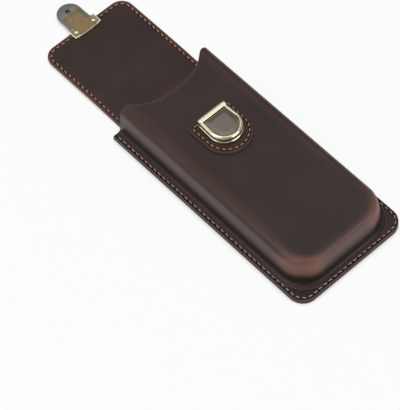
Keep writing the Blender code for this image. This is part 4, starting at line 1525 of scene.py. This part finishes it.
@dataclass
class LockRim:
    """Cast ring of the lock, round on top and flared at its foot, closed by a thick rounded bar."""

    half: float = 10.7 * MM
    wall: float = 1.7 * MM
    taper: float = 0.6 * MM
    centre: float = 27.7 * MM
    low: float = 28.05 * MM
    high: float = 32.4 * MM
    flare: float = 0.45 * MM
    crown: float = 2.30 * MM
    crest_share: float = 0.36
    bar_place: float = 38.6 * MM
    side_end: float = 37.7 * MM
    bar_half: float = 10.5 * MM
    bar_width: float = 3.4 * MM
    bar_low: float = 30.0 * MM
    bar_high: float = 32.9 * MM
    bar_power: float = 3.0
    bar_end: float = 0.8 * MM
    bar_end_shares: tuple[float, ...] = (0.0, 0.04, 0.12, 0.26, 0.46, 0.72, 1.0)
    bar_shrink: float = 0.45
    post: float = 1.0 * MM
    post_inset: float = 0.1 * MM
    post_share: float = 0.44
    foot_insets: tuple[float, ...] = (-0.12 * MM, -0.30 * MM, -0.12 * MM, 0.05 * MM)
    foot_shares: tuple[float, ...] = (0.35, 0.2, 0.12, 0.0)

    def path(self) -> Grid:
        """Middle line of the ring's wall, from the right end of the bar round to the left one."""
        reach = self.half - self.wall / 2
        bend = arc((0, self.centre), reach, 0, -180, 73)
        share = np.linspace(1, 0, 14)[:-1]
        share = share * (self.side_end - self.centre) / (self.bar_place - self.centre)
        side = np.stack([reach - self.taper * share, self.centre + (self.bar_place - self.centre) * share], 1)
        return np.concatenate([side, bend, side[::-1] * np.array([[-1.0, 1.0]])])

    def section(self) -> Grid:
        """Outward offset and height round the wall: half an ellipse on top, an eased flare outside."""
        reach = self.wall / 2
        inner = np.linspace(math.pi, math.pi / 2, 9)
        outer = np.linspace(math.pi / 2, 0, 15)[1:]
        near = self.wall * self.crest_share
        far = self.wall - near + self.flare
        crest = near - reach
        insets, shares = np.array(self.foot_insets), np.array(self.foot_shares)
        drop = self.high - self.crown - self.low
        parts = [
            np.array([[-reach, self.low], [-reach, (self.low + self.high) / 2]]),
            np.stack([crest + near * np.cos(inner), self.high - near * (1 - np.sin(inner))], 1),
            np.stack([crest + far * np.cos(outer), self.high - self.crown * (1 - np.sin(outer))], 1),
            np.stack([reach + self.flare + insets, self.low + drop * shares], 1),
        ]
        return np.concatenate(parts)

    def ring(self) -> tuple[Grid, Faces]:
        """Points and faces of the section carried along the path."""
        path, section = self.path(), self.section()
        run = np.gradient(path, axis=0)
        run /= np.linalg.norm(run, axis=1, keepdims=True)
        out = np.stack([-run[:, 1], run[:, 0]], 1)
        flat = path[:, None, :] + out[:, None, :] * section[None, :, :1]
        points = np.concatenate([flat, section[None, :, 1:] + 0 * flat[..., :1]], axis=-1)
        return points.reshape(-1, 3), closed_tube(len(path), len(section))

    def bar(self) -> tuple[Grid, Faces]:
        """Points and faces of the bar: superellipse sections that close in at both ends."""
        turn = np.linspace(0, math.tau, 33)[:-1]
        power = 2 / self.bar_power
        across = np.sign(np.cos(turn)) * np.abs(np.cos(turn)) ** power * self.bar_width / 2
        height = np.sign(np.sin(turn)) * np.abs(np.sin(turn)) ** power * (self.bar_high - self.bar_low) / 2
        fade = np.array(self.bar_end_shares)
        shrink = [1 - self.bar_shrink * (1 - fade) ** 2, np.ones(8), 1 - self.bar_shrink * fade**2]
        shrink = np.concatenate(shrink)[:, None]
        straight = np.linspace(-0.9, 0.9, 8) * self.bar_half
        ends = self.bar_end * fade
        place = np.concatenate([-self.bar_half + ends, straight, self.bar_half - ends[::-1]])
        x = place[:, None] + 0 * across[None, :]
        y = self.bar_place + shrink * across[None, :]
        z = (self.bar_low + self.bar_high) / 2 + shrink * height[None, :]
        return surface(x, y, z).reshape(-1, 3), closed_tube(len(place), len(turn))

    def post_box(self, side: float) -> tuple[Grid, Faces]:
        """Points and faces of the short post under one end of the bar."""
        corners = [(-1, -1), (1, -1), (1, 1), (-1, 1)]
        middle = side * (self.bar_half - self.post_inset - self.post / 2)
        levels = (self.low, (self.bar_low + self.bar_high) / 2)
        reach = self.bar_width * self.post_share
        square = [(middle + a * self.post / 2, self.bar_place + b * reach) for a, b in corners]
        points = [(*corner, z) for z in levels for corner in square]
        return np.array(points), closed_tube(len(levels), len(corners))

    def build(self, brass: Material) -> Object:
        """Make ring, bar and posts as one piece.

        Args:
            brass: Their metal.

        Returns:
            The piece, which stands for the CAD's lock_frame.
        """
        points, faces = joined([self.ring(), self.bar(), self.post_box(-1.0), self.post_box(1.0)])
        obj = make_mesh("lock_ring_cast", points, faces, brass, crease=55.0)
        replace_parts(obj, "lock_frame")
        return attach(obj, "case")


@dataclass
class ButtonFace(DShape):
    """Press button: a D with a softly raised face and a stub under it."""

    half: float = 8.7 * MM
    low: float = 19.0 * MM
    high: float = 36.6 * MM
    corner: float = 0.5 * MM
    bottom: float = 31.0 * MM
    shoulder: float = 31.65 * MM
    top: float = 32.1 * MM
    slope: float = 2.8 * MM
    rounding: float = 0.3 * MM
    stub_place: float = 27.6 * MM
    stub_radius: float = 1.0 * MM
    stub_low: float = 30.05 * MM

    def build(self, metal: Material) -> Object:
        """Make the button.

        Args:
            metal: Its metal.

        Returns:
            The piece, which stands for the CAD's lock_button.
        """
        x, y = self.grid()
        depth = self.depth(x, y)
        raised = (self.top - self.shoulder) * eased(depth, self.rounding, self.rounding + self.slope)
        upper = surface(x, y, self.shoulder - rounded_fall(depth, self.rounding) + raised)
        ring = arc((0, self.stub_place), self.stub_radius, 0, 360, 25)[:-1]
        stub = np.concatenate([at_height(ring, z) for z in (self.stub_low, self.shoulder)])
        points, faces = joined([slab(upper, surface(x, y, self.bottom)), (stub, closed_tube(2, len(ring)))])
        obj = make_mesh("button_face", points, faces, metal)
        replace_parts(obj, "lock_button")
        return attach(obj, "button")


@dataclass
class TongueLock:
    """Metal of the lock: plates, rivets, pin and spring on the case, and the plates and tongue on the flap."""

    nodes: dict[str, Object]
    looks: Looks
    broken: float = 0.12 * MM
    press: float = 1.2 * MM
    edge_angle: float = 35.0
    flat_angle: float = 1.0

    def build(self) -> None:
        """Dress every metal node."""
        for name in ("lock_rivet_left", "lock_rivet_right"):
            self.dress(name, "case", Finish.BRASS, self.broken)
        self.dress("lock_base_plate", "case", Finish.BRASS, 3 * self.broken)
        LockRim().build(self.looks[Finish.BRASS])
        self.dress("lock_back_plate", "case", Finish.STEEL, self.broken)
        spring = self.dress("lock_spring", "case", Finish.STEEL)
        low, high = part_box("lock_spring")
        keep = 1 - self.press / (high.z - low.z)
        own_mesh(spring)
        ButtonFace().build(self.looks[Finish.BUTTON])
        self.dress("lock_catch_pin", "button", Finish.BRASS)
        for name in ("flap_cover_plate", "flap_rivet_left", "flap_rivet_right"):
            self.dress(name, "flap", Finish.BRASS, self.broken)
        self.dress("flap_tongue", "flap", Finish.TONGUE, 3 * self.broken, self.looks["rim"])

    def dress(
        self, name: str, body: str, finish: Finish, width: float = 0.0, worn: Material | None = None
    ) -> Object:
        """A merged copy of a CAD node with softly broken edges, which stands for the node.

        Args:
            name: The node.
            body: The body that it rides.
            finish: Its metal.
            width: Width of the broken edges in metres; none are broken at 0.
            worn: Material of the broken edges where it differs, a paler brass: worn edges painted paler as a
                highlight.

        Returns:
            The new piece.
        """
        mesh = self.nodes[name].data.copy()
        mesh.name = name + "_dressed"
        mesh.materials.clear()
        shape = bmesh.new()
        shape.from_mesh(mesh)
        bmesh.ops.remove_doubles(shape, verts=shape.verts, dist=MERGE)
        flat = math.radians(self.flat_angle)
        bmesh.ops.dissolve_limit(shape, angle_limit=flat, verts=shape.verts, edges=shape.edges)
        shape.to_mesh(mesh)
        shape.free()
        obj = finish_mesh(mesh, mesh.name, self.looks[finish], self.edge_angle)
        if width:
            bevel = obj.modifiers.new("broken_edges", "BEVEL")
            bevel.width = width
            bevel.segments = 2
            bevel.limit_method = "ANGLE"
            bevel.angle_limit = math.radians(self.edge_angle)
            bevel.use_clamp_overlap = True
            bevel.harden_normals = True
            if worn:
                mesh.materials.append(worn)
                bevel.material = 1
        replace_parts(obj, name)
        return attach(obj, body)


# Studio


@dataclass
class Studio:
    """Pale floor, soft lamps and the camera."""

    floor_half: float = 2.5
    floor_drop: float = 0.01 * MM
    eye: tuple[float, float, float] = (-0.4974, -0.5477, 1.1308)
    aim: tuple[float, float, float] = (0.0, 0.04, 0.0)
    azimuth: float = -39.54
    elevation: float = 57.34
    roll: float = -3.53
    focal_pixels: float = 2261.4
    frame_pixels: tuple[int, int] = (400, 410)
    sensor: float = 36.0
    nearest: float = 0.01
    white: Colour = (0.90, 0.90, 0.90)
    lamps: tuple[tuple[str, tuple[float, float, float], float, float], ...] = (
        ("top", (0.20, 0.20, 1.45), 1.70, 7.5),
        ("key", (-0.80, 0.10, 1.05), 0.85, 4.5),
        ("side", (-1.20, 0.40, 0.60), 1.00, 2.8),
        ("front", (0.42, -1.15, 0.56), 1.00, 5.4),
    )
    ambient: float = 0.25
    glow: float = 0.90
    # Reach of the painted contact shadow on the floor.
    contact: float = 7.0 * MM

    def build(self) -> None:
        """Make floor, lamps, world and camera."""
        self.floor()
        for name, place, size, power in self.lamps:
            self.lamp(name, place, size, power)
        self.world()
        self.camera()

    def floor(self) -> None:
        """A matt floor whose own colour is lifted towards white for what sees it directly, less so near the
        case, which paints a soft contact shadow.
        """
        g = Graph("pale_floor")
        matt = g.node("BsdfDiffuse", None, {"Color": (*self.white, 1.0)})
        glow = g.node("Emission", None, {"Color": WHITE, "Strength": 1.0})
        path = g.node("LightPath")
        seen = g.math("MAXIMUM", Wire(g, path.outputs["Is Camera Ray"]), Wire(g, path.outputs["Is Glossy Ray"]))
        # Ambient occlusion holds the white back near the case: a painted contact shadow.
        near = g.node("AmbientOcclusion", {"samples": 8}, {"Distance": self.contact})
        clear = Wire(g, near.outputs["AO"]).step(0.25, 0.8)
        share = seen * self.glow * clear
        mix = g.node("MixShader", None, {0: share, 1: matt.outputs[0], 2: glow.outputs[0]})
        g.node("OutputMaterial", None, {"Surface": mix.outputs[0]})
        h, z = self.floor_half, -self.floor_drop
        mesh = bpy.data.meshes.new("floor")
        mesh.from_pydata([(-h, -h, z), (h, -h, z), (h, h, z), (-h, h, z)], [], [(0, 1, 2, 3)])
        mesh.materials.append(g.block)
        floor = bpy.data.objects.new("floor", mesh)
        bpy.context.scene.collection.objects.link(floor)

    def lamp(self, name: str, place: tuple[float, float, float], size: float, power: float) -> None:
        """A square soft lamp that faces the case.

        Args:
            name: Its name.
            place: Its middle.
            size: Its side in metres.
            power: Its power in watts.
        """
        light = bpy.data.lights.new(name, "AREA")
        light.size = size
        light.energy = power
        obj = bpy.data.objects.new(name, light)
        obj.location = place
        obj.rotation_euler = (Vector(self.aim) - Vector(place)).to_track_quat("-Z", "Y").to_euler()
        bpy.context.scene.collection.objects.link(obj)

    def world(self) -> None:
        """Even light from all round, white where it is seen directly."""
        g = Graph("studio", world=True)
        path = g.node("LightPath")
        soft = g.node("Background", None, {0: WHITE, 1: self.ambient})
        white = g.node("Background", None, {0: WHITE})
        ends = {0: path.outputs["Is Camera Ray"], 1: soft.outputs[0], 2: white.outputs[0]}
        mix = g.node("MixShader", None, ends)
        g.node("OutputWorld", None, {0: mix.outputs[0]})
        bpy.context.scene.world = g.block

    def camera(self) -> None:
        """Camera at the fitted place, turned about its axis by the roll."""
        a, e, r = (math.radians(v) for v in (self.azimuth, self.elevation, self.roll))
        back = Vector((math.sin(a) * math.cos(e), -math.cos(a) * math.cos(e), math.sin(e)))
        right = Vector((math.cos(a), math.sin(a), 0))
        up = back.cross(right)
        across = math.cos(r) * right + math.sin(r) * up
        upright = -math.sin(r) * right + math.cos(r) * up
        data = bpy.data.cameras.new("camera")
        data.sensor_width = self.sensor
        data.lens = self.focal_pixels * self.sensor / max(self.frame_pixels)
        data.clip_start = self.nearest
        obj = bpy.data.objects.new("camera", data)
        turn = Matrix((across, upright, back)).transposed()
        obj.matrix_world = Matrix.Translation(self.eye) @ turn.to_4x4()
        bpy.context.scene.collection.objects.link(obj)
        bpy.context.scene.camera = obj


# Object


def finishes() -> Looks:
    """Every material, by the name of its use.

    Returns:
        Leathers, metals and thread.
    """
    knurling = Knurling(
        pitch=1.22,
        half=6.6,
        low=152.0,
        high=171.0,
        border=(0.20, 0.205, 0.21),
        plate=(0.34, 0.29, 0.15),
        rim=(1.0, 0.98, 0.82),
        plate_half=10.45,
        plate_end=153.44,
        arch=1.0,
    )
    made = {
        "outer": WaxedLeather(
            "waxed_leather",
            dark=(0.026, 0.0185, 0.0168),
            light=(0.037, 0.0265, 0.024),
            rubbed_and_sheen=(0.165, 0.066, 0.050),
            cut=(0.20, 0.17, 0.155),
        ),
        "patch": WaxedLeather(
            "patch_leather",
            dark=(0.030, 0.015, 0.0125),
            light=(0.046, 0.023, 0.019),
            rubbed_and_sheen=(0.120, 0.052, 0.040),
            cut=(0.14, 0.070, 0.052),
        ),
        "lining": WaxedLeather(
            "lining_leather",
            dark=(0.028, 0.018, 0.015),
            light=(0.052, 0.034, 0.028),
            rubbed_and_sheen=(0.13, 0.065, 0.045),
            cut=(0.13, 0.10, 0.09),
            roughness=0.55,
        ),
        "wall": WaxedLeather(
            "wall_leather",
            dark=(0.030, 0.021, 0.018),
            light=(0.056, 0.040, 0.034),
            rubbed_and_sheen=(0.12, 0.075, 0.055),
            cut=(0.22, 0.18, 0.16),
            roughness=0.50,
        ),
        "thread": WaxedThread("linen_thread", (0.60, 0.36, 0.26), (0.22, 0.10, 0.07)),
        # Paler brass for the tongue's broken edges: worn edges painted paler as a highlight, with painted shade
        # round the hole.
        "rim": AntiqueMetal(
            "tongue_worn_edge_painted_highlight", (0.86, 0.83, 0.68), (0.40, 0.37, 0.28), 0.40, 0.10, hole=(173.54, 1.5)
        ),
        Finish.BRASS: AntiqueMetal("antique_brass_cast", (0.85, 0.80, 0.58), (0.45, 0.40, 0.25), 0.20, 0.06),
        Finish.TONGUE: AntiqueMetal(
            "tongue_brass_knurled",
            bright=(0.66, 0.46, 0.25),
            tarnish=(0.12, 0.085, 0.045),
            roughness=0.25,
            tarnish_share=0.20,
            knurling=knurling,
            # Painted shade round the tongue's hole.
            hole=(173.54, 1.3),
        ),
        Finish.BUTTON: AntiqueMetal(
            "button_satin", (0.208, 0.188, 0.158), (0.13, 0.115, 0.092), 0.34, 0.30, brushed=True
        ),
        Finish.STEEL: AntiqueMetal(
            "inner_steel", (0.52, 0.52, 0.52), (0.25, 0.24, 0.22), 0.35, 0.25, brushed=True
        ),
    }
    return {use: finish.build() for use, finish in made.items()}


def main() -> None:
    logging.basicConfig(level=logging.INFO, format="%(name)s: %(message)s")
    for obj in list(bpy.data.objects):
        bpy.data.objects.remove(obj, do_unlink=True)
    bpy.context.scene.view_settings.view_transform = "Standard"
    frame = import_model()
    looks = finishes()
    thread = looks["thread"]
    steps: dict[str, Callable[[], object]] = {
        "shell": lambda: MouldedShell().build(looks["outer"]),
        "flange stitches": lambda: MouldedShell().stitches(thread),
        "back and flap": lambda: BackAndFlap().build(looks["outer"], thread),
        "tray": lambda: PenTray().build(looks["lining"], looks["wall"], thread),
        "patch": lambda: LockPatch().build(looks["patch"], thread),
        "lock": lambda: TongueLock(frame["nodes"], looks).build(),
        "studio": lambda: Studio().build(),
    }
    for name, build in steps.items():
        build()
        log.info(name)


if __name__ == "__main__":
    main()
